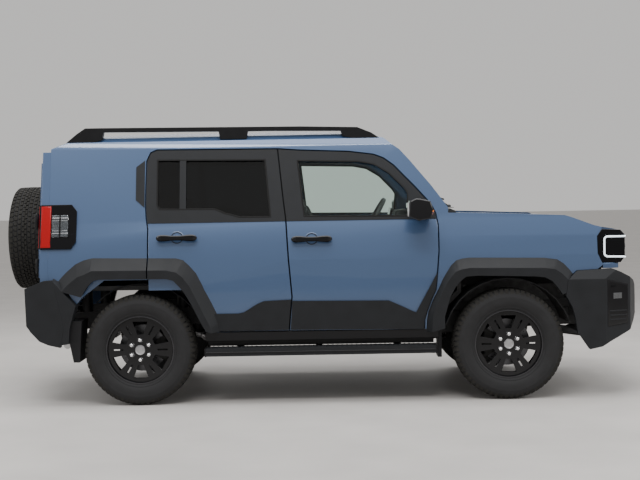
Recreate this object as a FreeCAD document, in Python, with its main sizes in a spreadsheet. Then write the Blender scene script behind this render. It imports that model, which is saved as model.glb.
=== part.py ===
"""Lifted off-road 4x4: ladder frame, hollow cab, doors, lids, axles, knuckles and wheels.

Frame: X forward, Y to the vehicle's left, Z up, millimetres, origin on the ground
below the middle of the box. Outlines are tables of shares of the sizes they follow.
"""
import FreeCAD, Part
import math
import os
import Sketcher
from FreeCAD import Vector

doc = FreeCAD.newDocument("offroad")

sizes = {
    "half_length": 2287.5,
    "roof_height": 1954.0,
    "half_width": 877.0,
    "wheelbase": 2580.0,
    "front_axle_x": 1330.0,
    "tyre_radius": 387.5,
    "tyre_width": 265.0,
    "rim_radius": 240.0,
    "rim_width": 200.0,
    "rim_wall": 12.0,
    "rim_dish_inset": 18.0,
    "rim_disc_thickness": 26.0,
    "hub_radius": 72.0,
    "hub_depth": 52.0,
    "spindle_radius": 28.0,
    "bearing_gap": 0.3,
    "brake_thickness": 24.0,
    "brake_offset": 50.0,
    "cap_radius": 34.0,
    "cap_height": 14.0,
    "shut_gap": 9.0,
    "seat_gap": 0.3,
    "tub_clearance": 66.0,
    "tub_wall": 6.0,
    "bonnet_pin_radius": 4.0,
    "boss_radius": 8.0,
    "boss_length": 36.0,
    "ear_width": 7.0,
    "run_gap": 6.0,
    "skin_thickness": 14.0,
    "door_inset": 16.0,
    "frame_depth": 45.0,
    "door_depth": 100.0,
    "jamb_gap": 7.0,
    "pillar_depth": 92.0,
    "wall_depth": 140.0,
    "fender_depth": 60.0,
    "back_rim_depth": 58.0,
    "eye_radius": 15.0,
    "eye_thickness": 20.0,
    "eye_margin": 36.0,
    "steer_radius": 175.0,
    "grip_radius": 14.0,
    "diff_radius": 129.0,
    "sash_thickness": 3.0,
    "glass_thickness": 4.0,
    "glass_overlap": 12.0,
    "belt_height": 1270.0,
    "panel_thickness": 24.0,
    "cladding_thickness": 14.0,
    "frame_rail_outer": 420.0,
    "frame_rail_width": 80.0,
    "crossmember_radius": 38.0,
    "cut_overrun": 40.0,
    "wheel_tuck": 109.5,
    "kingpin_offset": 87.5,
    "flare_proud": 50.5,
    "roof_shoulder": 277.0,
    "bonnet_tuck": 150.0,
    "rail_lift_in": 20.0,
}

sheet = doc.addObject("Spreadsheet::Sheet", "dims")
row = 1
for name, amount in sizes.items():
    sheet.set("A" + str(row), name)
    sheet.set("B" + str(row), str(amount))
    sheet.setAlias("B" + str(row), name)
    row += 1
doc.recompute()


class Size:
    """A length with its number and the expression that gives it from the sheet."""

    def __init__(self, value, text):
        self.value = value
        self.text = text

    def __add__(self, other):
        other = lift(other)
        return Size(self.value + other.value, "(" + self.text + " + " + other.text + ")")

    def __sub__(self, other):
        other = lift(other)
        return Size(self.value - other.value, "(" + self.text + " - " + other.text + ")")

    def __mul__(self, other):
        other = lift(other)
        return Size(self.value * other.value, self.text + " * " + other.text)

    def __neg__(self):
        return Size(-self.value, "(0 - " + self.text + ")")


def lift(amount):
    """Give a plain number the form of a size."""
    if isinstance(amount, Size):
        return amount
    if amount < 0:
        return Size(amount, "(0 - " + repr(-amount) + ")")
    return Size(amount, repr(amount))


class Sheet:
    """The sheet's cells by name."""

    def __getattr__(self, name):
        return Size(float(sheet.get(name)), "dims." + name)


def derived(name, size):
    """A size that follows others, kept as a row of its own in the sheet."""
    global row
    sheet.set("A" + str(row), name)
    sheet.set("B" + str(row), "=" + size.text.replace("dims.", ""))
    sheet.setAlias("B" + str(row), name)
    row += 1
    doc.recompute()


s = Sheet()
derived("half_track", s.half_width - s.wheel_tuck)
derived("kingpin_half_track", s.half_track - s.kingpin_offset)
derived("flare_half_width", s.half_width + s.flare_proud)
derived("roof_half_span", s.half_width - s.roof_shoulder)
derived("bonnet_half_width", s.half_width - s.bonnet_tuck)
derived("rail_top_half_width", s.roof_half_span + s.rail_lift_in)
zero = lift(0)
rear_axle_x = s.front_axle_x - s.wheelbase
axle_z = s.tyre_radius


class Shares:
    """Named places, each a share of one size of the vehicle."""

    def __init__(self, size, **table):
        self.size = size
        self.table = table

    def __getattr__(self, name):
        return self.size * self.table[name]


def bind(obj, prop, size):
    """Tie one property to an expression of the sheet's sizes."""
    obj.setExpression(prop, lift(size).text)


def move(obj, x=zero, y=zero, z=zero):
    """Tie an object's place to the sheet."""
    bind(obj, ".Placement.Base.x", x)
    bind(obj, ".Placement.Base.y", y)
    bind(obj, ".Placement.Base.z", z)
    return obj


def outline(body, plane, points):
    """Closed polygon on one of the body's own planes, each corner tied to the sheet."""
    sketch = body.newObject("Sketcher::SketchObject", body.Name + "_sketch")
    face = [f for f in body.Origin.OriginFeatures if f.Role == plane + "_Plane"][0]
    sketch.AttachmentSupport = [(face, "")]
    sketch.MapMode = "FlatFace"
    count = len(points)
    spots = [Vector(lift(u).value, lift(v).value, 0) for u, v in points]
    lines = []
    for i in range(count):
        lines.append(sketch.addGeometry(Part.LineSegment(spots[i], spots[(i + 1) % count]), False))
    for i in range(count):
        sketch.addConstraint(Sketcher.Constraint("Coincident", lines[i], 2, lines[(i + 1) % count], 1))
    for i in range(count):
        for kind, spot in (("DistanceX", lift(points[i][0])), ("DistanceY", lift(points[i][1]))):
            if spot.value == 0:
                target = ("PointOnObject", lines[i], 1, -2 if kind == "DistanceX" else -1)
                sketch.addConstraint(Sketcher.Constraint(*target))
                continue
            index = sketch.addConstraint(Sketcher.Constraint(kind, -1, 1, lines[i], 1, spot.value))
            sketch.setExpression("Constraints[" + str(index) + "]", spot.text)
    return sketch


def prism(name, plane, points, start, depth):
    """An outline padded along its plane's axis from start, over depth."""
    body = doc.addObject("PartDesign::Body", name)
    sketch = outline(body, plane, points)
    pad = body.newObject("PartDesign::Pad", name + "_pad")
    pad.Profile = sketch
    pad.Length = lift(depth).value
    bind(pad, "Length", depth)
    pad.Reversed = plane == "XZ"
    axis = {"XZ": "y", "YZ": "x", "XY": "z"}[plane]
    bind(body, ".Placement.Base." + axis, start)
    return body


def turned(name, points, x=zero, y=zero, z=zero):
    """A profile of (across, radius) turned about an axis along Y."""
    body = doc.addObject("PartDesign::Body", name)
    sketch = outline(body, "YZ", points)
    feature = body.newObject("PartDesign::Revolution", name + "_turn")
    feature.Profile = sketch
    feature.ReferenceAxis = (sketch, ["H_Axis"])
    move(body, x, y, z)
    return body


def box(name, x0, x1, y0, y1, z0, z1):
    """A box between named planes."""
    item = doc.addObject("Part::Box", name)
    bind(item, "Length", lift(x1) - x0)
    bind(item, "Width", lift(y1) - y0)
    bind(item, "Height", lift(z1) - z0)
    return move(item, x0, y0, z0)


def rod(name, radius, length, x, y, z, along="y"):
    """A round bar that starts at a point and runs along one axis."""
    item = doc.addObject("Part::Cylinder", name)
    bind(item, "Radius", radius)
    bind(item, "Height", length)
    turn = {"x": Vector(0, 1, 0), "y": Vector(-1, 0, 0)}
    if along in turn:
        item.Placement.Rotation = FreeCAD.Rotation(turn[along], 90)
    return move(item, x, y, z)


def fuse(name, items):
    item = doc.addObject("Part::MultiFuse", name)
    item.Shapes = items
    return item


def cut(name, base, tools):
    for i, tool in enumerate(tools):
        item = doc.addObject("Part::Cut", name if i == len(tools) - 1 else name + "_cut" + str(i))
        item.Base = base
        item.Tool = tool
        base = item
    return base


def common(name, items):
    base = items[0]
    for i, tool in enumerate(items[1:]):
        item = doc.addObject("Part::Common", name if i == len(items) - 2 else name + "_part" + str(i))
        item.Base = base
        item.Tool = tool
        base = item
    return base


def mirror(name, source):
    """The same piece on the vehicle's other side."""
    item = doc.addObject("Part::Mirroring", name)
    item.Source = source
    item.Normal = Vector(0, 1, 0)
    return item


def pair(name, left):
    """A left piece and its right-hand twin, kept as two solids in one node."""
    group = doc.addObject("Part::Compound", name)
    group.Links = [left, mirror(name + "_twin", left)]
    return group


def on_body(table, dx=zero, dz=zero):
    """Shares of the half length and roof height as places on the body side."""
    return [(s.half_length * u + dx, s.roof_height * v + dz) for u, v in table]


def on_axle(table, axle_x):
    """Shares of the tyre's radius about an axle's centre."""
    return [(axle_x + s.tyre_radius * u, axle_z + s.tyre_radius * v) for u, v in table]


def grown(table_points, amount):
    """An outline moved outwards on every side by one size."""
    count = len(table_points)
    plain = [(lift(u).value, lift(v).value) for u, v in table_points]
    area = sum(plain[i][0] * plain[(i + 1) % count][1] - plain[(i + 1) % count][0] * plain[i][1]
               for i in range(count))
    side = 1 if area > 0 else -1
    result = []
    for i in range(count):
        before, here, after = plain[i - 1], plain[i], plain[(i + 1) % count]
        first = math.atan2(here[1] - before[1], here[0] - before[0])
        second = math.atan2(after[1] - here[1], after[0] - here[0])
        turn = (second - first) / 2
        middle = math.atan2(math.sin(first) + math.sin(second), math.cos(first) + math.cos(second))
        stretch = min(1 / max(abs(math.cos(turn)), 0.25), 4)
        across_share = round(side * math.sin(middle) * stretch, 5)
        up_share = round(-side * math.cos(middle) * stretch, 5)
        u, v = table_points[i]
        result.append((lift(u) + amount * across_share, lift(v) + amount * up_share))
    return result


def round_shares(turns):
    """Shares of a radius at each angle in degrees."""
    return [(round(math.cos(math.radians(a)), 5), round(math.sin(math.radians(a)), 5)) for a in turns]


def arch_sheet(x, radius, wall, first, last):
    """A thin arched strip about an axle, between two angles in degrees."""
    rim = round_shares(range(first, last + 1, 12))
    high = [(x + (radius + wall) * u, axle_z + (radius + wall) * v) for u, v in rim]
    low = [(x + radius * u, axle_z + radius * v) for u, v in reversed(rim)]
    return high + low


def arch_disc(x, radius, grow, first):
    """A full round outline about an axle, with its corners in line with a strip's."""
    rim = round_shares(range(first, first + 360, 12))
    return [(x + (radius + grow) * u, axle_z + (radius + grow) * v) for u, v in rim]


front_door_shares = [
    (-0.118, 0.913), (-0.053, 0.907), (0.102, 0.899), (0.179, 0.887), (0.210, 0.873),
    (0.241, 0.846), (0.272, 0.807), (0.303, 0.769), (0.334, 0.728), (0.352, 0.703),
    (0.366, 0.670), (0.372, 0.629), (0.372, 0.537), (0.367, 0.468), (0.360, 0.396),
    (0.348, 0.367), (0.332, 0.318), (0.325, 0.290), (0.324, 0.253), (-0.089, 0.258),
    (-0.085, 0.317), (-0.079, 0.381), (-0.088, 0.512), (-0.095, 0.660), (-0.102, 0.727),
]
rear_door_shares = [
    (-0.118, 0.913), (-0.492, 0.916), (-0.512, 0.906), (-0.524, 0.875), (-0.526, 0.716),
    (-0.523, 0.665), (-0.518, 0.629), (-0.518, 0.409), (-0.415, 0.409), (-0.395, 0.381),
    (-0.378, 0.345), (-0.362, 0.310), (-0.352, 0.287), (-0.345, 0.260), (-0.089, 0.258),
    (-0.085, 0.317), (-0.079, 0.381), (-0.088, 0.512), (-0.095, 0.660), (-0.102, 0.727),
]
front_window_shares = [
    (-0.059, 0.871), (-0.040, 0.664), (0.280, 0.659), (0.284, 0.745), (0.272, 0.766),
    (0.226, 0.821), (0.179, 0.854), (0.131, 0.865),
]
rear_window_shares = [
    (-0.492, 0.881), (-0.492, 0.712), (-0.483, 0.697), (-0.314, 0.695), (-0.284, 0.680),
    (-0.237, 0.665), (-0.139, 0.664), (-0.155, 0.876),
]
side_silhouette_shares = [
    (-0.822, 0.926), (-0.774, 0.947), (-0.712, 0.958), (-0.658, 0.967), (-0.492, 0.988),
    (-0.273, 0.988), (-0.054, 0.988), (0.072, 0.985), (0.209, 0.949), (0.219, 0.941),
    (0.235, 0.925), (0.260, 0.904), (0.291, 0.863), (0.322, 0.818), (0.354, 0.772),
    (0.385, 0.722), (0.404, 0.691), (0.404, 0.389), (0.379, 0.353), (0.379, 0.266),
    (0.369, 0.256), (0.324, 0.241), (-0.332, 0.241), (-0.345, 0.276), (-0.393, 0.389),
    (-0.442, 0.450), (-0.651, 0.450), (-0.721, 0.389), (-0.761, 0.328), (-0.761, 0.287),
    (-0.822, 0.287),
]
front_aperture_shares = [
    (-0.094, 0.888), (-0.053, 0.884), (0.102, 0.876), (0.175, 0.864), (0.205, 0.847),
    (0.245, 0.803), (0.284, 0.755), (0.323, 0.702), (0.336, 0.668), (0.341, 0.614),
    (0.341, 0.409), (0.326, 0.368), (0.306, 0.328), (-0.057, 0.328), (-0.057, 0.512),
    (-0.066, 0.660), (-0.077, 0.768),
]
rear_aperture_shares = [
    (-0.142, 0.888), (-0.477, 0.890), (-0.494, 0.870), (-0.496, 0.665), (-0.490, 0.563),
    (-0.485, 0.517), (-0.437, 0.491), (-0.385, 0.450), (-0.345, 0.358), (-0.332, 0.328),
    (-0.118, 0.328), (-0.116, 0.512), (-0.125, 0.660), (-0.131, 0.768),
]
roof_shares = [
    (-0.822, 0.916), (-0.774, 0.942), (-0.712, 0.958), (-0.658, 0.971), (-0.586, 0.979),
    (-0.492, 0.984), (-0.273, 0.986), (-0.054, 0.982), (0.072, 0.972), (0.175, 0.958),
    (0.214, 0.943), (0.214, 0.819), (-0.822, 0.819),
]
fender_shares = [
    (0.375, 0.670), (0.444, 0.670), (0.568, 0.665), (0.761, 0.655), (0.785, 0.646),
    (0.816, 0.632), (0.847, 0.618), (0.870, 0.611), (0.870, 0.476), (0.842, 0.450),
    (0.787, 0.440), (0.380, 0.440), (0.372, 0.461), (0.375, 0.537),
]
front_arch_shares = [
    (-1.161, -0.026), (-1.161, 0.529), (-1.055, 0.888), (-0.965, 1.048), (-0.875, 1.156),
    (-0.769, 1.236), (-0.568, 1.249), (0.465, 1.218), (0.643, 1.197), (0.769, 1.130),
    (0.875, 1.004), (0.983, 0.841), (1.074, 0.663), (1.125, 0.483), (1.161, 0.248),
    (1.161, -0.026),
]
rear_arch_shares = [
    (-1.254, -0.026), (-1.228, 0.439), (-1.115, 0.836), (-1.009, 0.994), (-0.901, 1.172),
    (-0.813, 1.259), (-0.705, 1.293), (0.511, 1.285), (0.635, 1.254), (0.743, 1.141),
    (0.831, 1.032), (0.957, 0.815), (1.045, 0.635), (1.135, 0.454), (1.190, 0.364),
    (1.265, 0.155), (1.265, -0.026),
]
front_flare_outer_shares = [
    (-1.520, 0.248), (-1.510, 0.490), (-1.492, 0.619), (-1.412, 0.834), (-1.303, 1.043),
    (-1.215, 1.239), (-1.143, 1.363), (-1.055, 1.502), (-0.947, 1.608), (-0.821, 1.641),
    (-0.697, 1.652), (0.643, 1.628), (0.911, 1.595), (1.037, 1.520), (1.143, 1.412),
    (1.234, 1.303), (1.290, 1.213),
]
front_flare_crease_shares = [
    (-1.394, 0.248), (-1.378, 0.439), (-1.352, 0.594), (-1.290, 0.774), (-1.213, 0.950),
    (-1.135, 1.097), (-1.045, 1.226), (-0.965, 1.319), (-0.890, 1.355), (-0.839, 1.370),
    (-0.697, 1.391), (0.643, 1.368), (0.826, 1.342), (0.942, 1.265), (1.045, 1.161),
    (1.135, 1.045), (1.192, 0.955),
]
rear_flare_outer_shares = [
    (-1.510, 1.360), (-1.419, 1.453), (-1.329, 1.538), (-1.151, 1.677), (-1.009, 1.729),
    (-0.831, 1.750), (0.743, 1.721), (0.867, 1.695), (0.957, 1.621), (1.099, 1.494),
    (1.226, 1.293), (1.314, 1.112), (1.404, 0.898), (1.466, 0.717), (1.510, 0.516),
    (1.523, 0.310),
]
rear_flare_crease_shares = [
    (-1.368, 1.084), (-1.290, 1.174), (-1.213, 1.239), (-1.084, 1.342), (-0.937, 1.394),
    (-0.831, 1.450), (0.511, 1.440), (0.689, 1.399), (0.797, 1.316), (0.921, 1.154),
    (1.030, 0.937), (1.110, 0.774), (1.174, 0.632), (1.244, 0.501), (1.290, 0.387),
    (1.303, 0.297),
]
front_cladding_shares = [
    (0.368, 0.468), (0.361, 0.396), (0.349, 0.367), (0.333, 0.318), (0.326, 0.290),
    (0.325, 0.255), (-0.087, 0.260), (-0.083, 0.317), (-0.080, 0.368), (0.216, 0.364),
    (0.237, 0.353), (0.267, 0.337), (0.282, 0.328), (0.298, 0.320),
]
front_bumper_shares = [
    (0.753, 0.369), (0.760, 0.425), (0.790, 0.457), (0.896, 0.463), (0.924, 0.450),
    (0.987, 0.412), (0.998, 0.394), (1.000, 0.358), (1.000, 0.287), (0.987, 0.268),
    (0.949, 0.238), (0.918, 0.220), (0.887, 0.203), (0.861, 0.186), (0.824, 0.177),
    (0.787, 0.241), (0.781, 0.287), (0.772, 0.328),
]
rear_bumper_shares = [
    (-0.890, 0.426), (-0.834, 0.453), (-0.804, 0.455), (-0.774, 0.287), (-0.784, 0.214),
    (-0.821, 0.224), (-0.848, 0.238), (-0.874, 0.271), (-0.887, 0.294),
]
rear_bumper_centre_shares = [
    (-0.917, 0.385), (-0.833, 0.385), (-0.822, 0.358), (-0.800, 0.241), (-0.826, 0.225),
    (-0.855, 0.241), (-0.879, 0.271), (-0.917, 0.294),
]
bonnet_shares = [
    (0.442, 0.665), (0.568, 0.661), (0.761, 0.651), (0.785, 0.643), (0.816, 0.628),
    (0.847, 0.615), (0.901, 0.606), (0.936, 0.598), (0.936, 0.573), (0.870, 0.589),
    (0.831, 0.599), (0.761, 0.622), (0.568, 0.637), (0.472, 0.646), (0.442, 0.646),
]
windscreen_shares = [
    (0.215, 0.938), (0.219, 0.941), (0.409, 0.688), (0.405, 0.685),
]
floor_shares = [
    (0.431, 0.635), (0.431, 0.389), (0.380, 0.325), (-0.341, 0.325), (-0.372, 0.425),
    (-0.821, 0.425), (-0.821, 0.409), (-0.379, 0.409), (-0.351, 0.312), (0.385, 0.312),
    (0.444, 0.381), (0.444, 0.635),
]
dash_shares = [
    (0.399, 0.643), (0.393, 0.671), (0.245, 0.650), (0.236, 0.614), (0.251, 0.537),
    (0.306, 0.491), (0.385, 0.491), (0.395, 0.563),
]
rail_shares = [
    (0.976, 0.246), (0.743, 0.241), (0.437, 0.220), (0.367, 0.215), (-0.280, 0.215),
    (-0.376, 0.266), (-0.656, 0.276), (-0.721, 0.256), (-0.867, 0.246), (-0.867, 0.307),
    (-0.721, 0.320), (-0.656, 0.333), (-0.385, 0.328), (-0.306, 0.287), (0.367, 0.287),
    (0.437, 0.297), (0.743, 0.307), (0.976, 0.307),
]
side_profile_shares = [
    (0.958, 0.154), (0.983, 0.246), (0.992, 0.328), (1.000, 0.409), (0.990, 0.512),
    (0.965, 0.589), (0.919, 0.650), (0.766, 0.921), (0.735, 0.947), (0.684, 0.965),
    (0.513, 0.977), (0.285, 0.984),
]
bumper_plan_shares = [
    (0.721, 1.058), (0.872, 1.058), (0.955, 0.969), (1.000, 0.639), (1.000, -0.639),
    (0.955, -0.969), (0.872, -1.058), (0.721, -1.058),
]
bumper_core_shares = [
    (0.699, 1.009), (0.861, 1.009), (0.936, 0.929), (0.977, 0.616), (0.977, -0.616),
    (0.936, -0.929), (0.861, -1.009), (0.699, -1.009),
]
headlamp_shares = [
    (0.855, 0.517), (0.868, 0.483), (0.927, 0.483), (0.940, 0.504), (0.940, 0.583),
    (0.927, 0.600), (0.870, 0.603), (0.855, 0.578),
]
tail_lamp_shares = [
    (-0.846, 0.564), (-0.752, 0.564), (-0.736, 0.589), (-0.736, 0.699), (-0.752, 0.723),
    (-0.846, 0.723),
]
seat_base_shares = [
    (0.013, 0.320), (-0.013, 0.440), (0.026, 0.463), (0.210, 0.476), (0.227, 0.450),
    (0.205, 0.320),
]
seat_back_shares = [
    (-0.009, 0.435), (-0.026, 0.461), (-0.101, 0.727), (-0.094, 0.757), (-0.066, 0.763),
    (-0.048, 0.737), (0.031, 0.455),
]
head_shares = [
    (-0.104, 0.750), (-0.111, 0.839), (-0.094, 0.860), (-0.074, 0.850), (-0.066, 0.750),
]
rear_seat_shares = [
    (-0.376, 0.421), (-0.376, 0.455), (-0.358, 0.463), (-0.188, 0.473), (-0.175, 0.445),
    (-0.188, 0.394), (-0.337, 0.394), (-0.350, 0.421),
]
rear_back_shares = [
    (-0.376, 0.450), (-0.420, 0.471), (-0.485, 0.737), (-0.477, 0.768), (-0.446, 0.768),
    (-0.433, 0.737), (-0.358, 0.461),
]
mud_rear_shares = [
    (-0.748, 0.159), (-0.729, 0.159), (-0.721, 0.307), (-0.769, 0.307), (-0.769, 0.289),
]
mud_front_shares = [
    (0.365, 0.154), (0.377, 0.154), (0.377, 0.268), (0.369, 0.260), (0.365, 0.258),
]
rear_cladding_shares = [
    (-0.352, 0.287), (-0.345, 0.260), (-0.089, 0.260), (-0.085, 0.317), (-0.080, 0.373),
    (-0.166, 0.369), (-0.188, 0.358), (-0.227, 0.330), (-0.245, 0.326), (-0.316, 0.326),
    (-0.337, 0.328),
]
mirror_shares = [
    (0.276, 0.660), (0.280, 0.716), (0.297, 0.725), (0.341, 0.714), (0.348, 0.686),
    (0.341, 0.653), (0.306, 0.646),
]
mirror_arm_shares = [
    (0.306, 0.653), (0.306, 0.676), (0.345, 0.676), (0.345, 0.653),
]
rear_core_shares = [
    (-0.743, 1.009), (-0.855, 1.009), (-0.868, 0.912), (-0.868, -0.912), (-0.855, -1.009),
    (-0.743, -1.009),
]
roof_rail_shares = [
    (-0.778, 0.947), (-0.743, 0.980), (-0.717, 1.000), (-0.678, 1.000), (-0.044, 0.994),
    (0.131, 0.988), (0.175, 0.967), (0.209, 0.940), (0.209, 0.921), (0.084, 0.957),
    (0.079, 0.975), (-0.131, 0.979), (-0.210, 0.979), (-0.214, 0.952), (-0.297, 0.952),
    (-0.301, 0.980), (-0.660, 0.984), (-0.664, 0.957), (-0.778, 0.916),
]
crossmember_shares = [
    (-0.831, 0.276), (-0.437, 0.294), (-0.131, 0.258), (0.066, 0.258), (0.743, 0.274),
]
roof_hollow_shares = [
    (-0.844, 0.890), (-0.774, 0.929), (-0.712, 0.945), (-0.658, 0.958), (-0.586, 0.966),
    (-0.492, 0.971), (-0.273, 0.973), (-0.054, 0.969), (0.072, 0.960), (0.175, 0.945),
    (0.216, 0.929), (0.216, 0.768), (-0.844, 0.768),
]
bonnet_clear_shares = [
    (0.438, 0.633), (0.568, 0.628), (0.761, 0.616), (0.831, 0.593), (0.870, 0.582),
    (0.949, 0.566), (0.949, 0.716), (0.438, 0.716),
]
cowl_shares = [
    (0.396, 0.640), (0.413, 0.686), (0.431, 0.677), (0.438, 0.660), (0.438, 0.637),
]
apron_shares = [
    (0.441, 0.404), (0.441, 0.612), (0.568, 0.609), (0.761, 0.596), (0.846, 0.563),
    (0.846, 0.328), (0.809, 0.287), (0.783, 0.287), (0.783, 0.404),
]
rear_bar_shares = [
    (-0.421, 0.691), (-0.401, 0.691), (-0.401, 0.884), (-0.421, 0.884),
]
quarter_shares = [
    (-0.529, 0.707), (-0.529, 0.878), (-0.556, 0.854), (-0.556, 0.735),
]
bumper_front_shares = [
    (-1.000, 0.100), (1.000, 0.100), (1.000, 0.427), (0.949, 0.470), (-0.949, 0.470),
    (-1.000, 0.427),
]

striker_shares = [(-0.072, 0.563), (-0.503, 0.542)]
tow_eye_shares = [(0.8525, 0.2436), (-0.8306, 0.2497)]
spoke_count = 6
window_corners = [(0.456, -11), (0.855, -15), (0.855, 15), (0.456, 11)]
slot_corners = [(0.503, 27.2), (0.79, 28.2), (0.79, 31.8), (0.503, 32.8)]
grip_shares = [(1, -1), (1, 1), (-1, 1), (-1, -1)]
diff_shares = [(-0.85, 0), (-0.85, 0.45), (-0.45, 1), (0.45, 1), (0.85, 0.45), (0.85, 0)]
body_mount_shares = [
    (-0.7432, 0.3173, 0.4094),
    (-0.4372, 0.3265, 0.4094),
    (-0.2186, 0.2866, 0.3122),
    (0.1311, 0.2866, 0.3122),
    (0.3279, 0.2866, 0.3122),
]


def section(lower, upper, both=False):
    """The cab's cross-section, moved in by one depth below the belt and another above it."""
    side = []
    for u, v in side_profile_shares:
        side_y = s.half_width * u
        side_z = s.roof_height * v
        if side_z.value <= s.belt_height.value:
            side.append((side_y - lower, side_z))
            if side_z.value >= s.belt_height.value - 1 and lift(lower).value != lift(upper).value:
                side.append((side_y - upper, side_z))
        elif side_z.value < s.roof_height.value * 0.94:
            side.append((side_y - upper, side_z))
        else:
            side.append((side_y - upper, side_z - upper))
    if both:
        return side + [(zero - u, v) for u, v in reversed(side)]
    return [(zero, side[0][1])] + side + [(zero, side[-1][1])]


def envelope(name, lower, upper, both=False):
    """A full-length solid inside the cab's outer surface."""
    start = zero - s.half_length - s.cut_overrun
    return prism(name, "YZ", section(lower, upper, both), start, s.half_length * 2 + s.cut_overrun * 2)


def side_prism(name, points, inner=None):
    """An outline seen from the side, padded out over the left half."""
    start = inner if inner is not None else s.bonnet_half_width * 0.5
    return prism(name, "XZ", points, start, s.half_width)


def finish(name, shape):
    """Name a finished piece, which is also its file."""
    shape.Label = name
    nodes.append(shape)
    return shape


nodes = []
along = Shares(s.half_length, sill_back=-0.45, sill_front=0.42, flare_split=-0.518,
               front_stay_back=0.976, front_stay_front=0.985,
               rear_stay_back=-0.885, rear_stay_front=-0.867, rear_face=-0.847, rear_ring=-0.822,
               bonnet_pin=0.4424, grille_back=0.895, grille_face=0.935, step_back=-0.345, step_front=0.358,
               gearbox_back=0.12, shaft_front=0.13, bell_back=0.456, engine_back=0.47, bell_front=0.49,
               engine_foot_back=0.6, engine_foot_front=0.63, engine_front=0.8, steering=0.177)
across = Shares(s.half_width, mirror_reach=0.2, mirror_foot=0.85, flare_root=0.96, bumper_corner=0.5,
                striker=0.84, back_light=0.63, lamp_in=0.7, lamp_wide=0.27, tail_wide=0.5, step_in=0.9,
                engine=0.33, gearbox=0.17, engine_foot=0.29, seat_in=0.16, seat_wide=0.56, head_in=0.3,
                head_wide=0.28, dash=0.72, steering=0.44, mud_rear_in=0.74, mud_rear_wide=0.28,
                mud_front_in=0.8, mud_front_wide=0.16, front_tub_out=0.955, rear_tub_out=0.865)
up = Shares(s.roof_height, sill_top=0.328, bumper_low=0.1, bumper_span=0.5, stay_low=0.255, stay_top=0.3,
            ring_low=0.435,
            ring_top=0.914, back_door_low=0.456, back_door_top=0.88, back_light_low=0.7, back_light_top=0.845,
            spare=0.5947, bonnet_pin=0.6607, notch_low=0.6, notch_top=0.7, grille_low=0.465, grille_top=0.57,
            step_low=0.174, step_top=0.202, step_lug=0.215, spring_seat=0.27, spring_top=0.28,
            shock_seat=0.29, shock_top=0.3, tower_top=0.226, damper=0.24, damper_hole=0.3,
            damper_cap_low=0.235, damper_cap_top=0.247, gearbox_low=0.205, gearbox_top=0.305, bell_top=0.38,
            engine_low=0.33, engine_top=0.6, engine_foot_top=0.36, steering=0.6418)
hub = Shares(s.tyre_radius, upright=0.3, arm=0.36, arm_half=0.42, tower_half=0.3, stud=0.06, shaft_rise=0.07)
past_half = s.flare_half_width + s.cut_overrun

# Cab surface and its inner faces.
outer = envelope("outer", zero, zero)
skin_back = envelope("skin_back", s.skin_thickness, s.skin_thickness)
door_back = envelope("door_back", s.door_depth, s.frame_depth)
jamb_back = envelope("jamb_back", s.door_depth + s.jamb_gap, s.frame_depth + s.jamb_gap)
wall_back = envelope("wall_back", s.wall_depth, s.pillar_depth)
glass_face = envelope("glass_face", s.skin_thickness + s.seat_gap, s.skin_thickness + s.seat_gap)
glass_depth = s.skin_thickness + s.seat_gap + s.glass_thickness
glass_back = envelope("glass_back", glass_depth, glass_depth)
trim_face = envelope("trim_face", zero - s.cladding_thickness, zero - s.cladding_thickness)
sash_face = envelope("sash_face", zero - s.sash_thickness, zero - s.sash_thickness)

skin_layer = cut("skin_layer", outer, [skin_back])
door_layer = cut("door_layer", skin_back, [door_back])
wall_layer = cut("wall_layer", outer, [wall_back])
jamb_layer = cut("jamb_layer", trim_face, [jamb_back])
glass_layer = cut("glass_layer", glass_face, [glass_back])
trim_layer = cut("trim_layer", trim_face, [outer])
sash_layer = cut("sash_layer", sash_face, [outer])
above_belt = box("above_belt", zero - s.half_length, s.half_length, zero, s.half_width + s.cut_overrun,
                 s.belt_height, s.roof_height)

half_gap = s.shut_gap * 0.5


def door(name, door_table, window_table):
    """A side door: a thin skin over an inset box, with its window cut through."""
    nominal = on_body(door_table)
    window = on_body(window_table)
    skin = common(name + "_skin", [skin_layer, side_prism(name + "_edge", grown(nominal, zero - half_gap))])
    inset = grown(nominal, zero - half_gap - s.door_inset)
    inner = common(name + "_inner", [door_layer, side_prism(name + "_inset", inset)])
    skin_cut = cut(name + "_outer", skin, [side_prism(name + "_light", window)])
    rebate = grown(window, s.glass_overlap + s.seat_gap)
    inner_cut = cut(name + "_frame", inner, [side_prism(name + "_rebate", rebate)])
    shell = fuse(name + "_left", [skin_cut, inner_cut])
    pane_edge = side_prism(name + "_pane_edge", grown(window, s.glass_overlap))
    pane = common(name + "_glass_left", [glass_layer, pane_edge])
    return shell, pane


front_shell, front_pane = door("front_door", front_door_shares, front_window_shares)
rear_shell, rear_pane = door("rear_door", rear_door_shares, rear_window_shares)


def sash(name, door_table, window_table, bar_table=None):
    """The dark surround of a door's window, as a thin skin above the belt."""
    edge = side_prism(name + "_edge", grown(on_body(door_table), zero - half_gap))
    whole = common(name + "_whole", [sash_layer, edge, above_belt])
    ring = cut(name, whole, [side_prism(name + "_light", on_body(window_table))])
    if bar_table is None:
        return ring
    bar = common(name + "_bar", [sash_layer, side_prism(name + "_bar_edge", on_body(bar_table))])
    return fuse(name + "_barred", [ring, bar])


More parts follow.
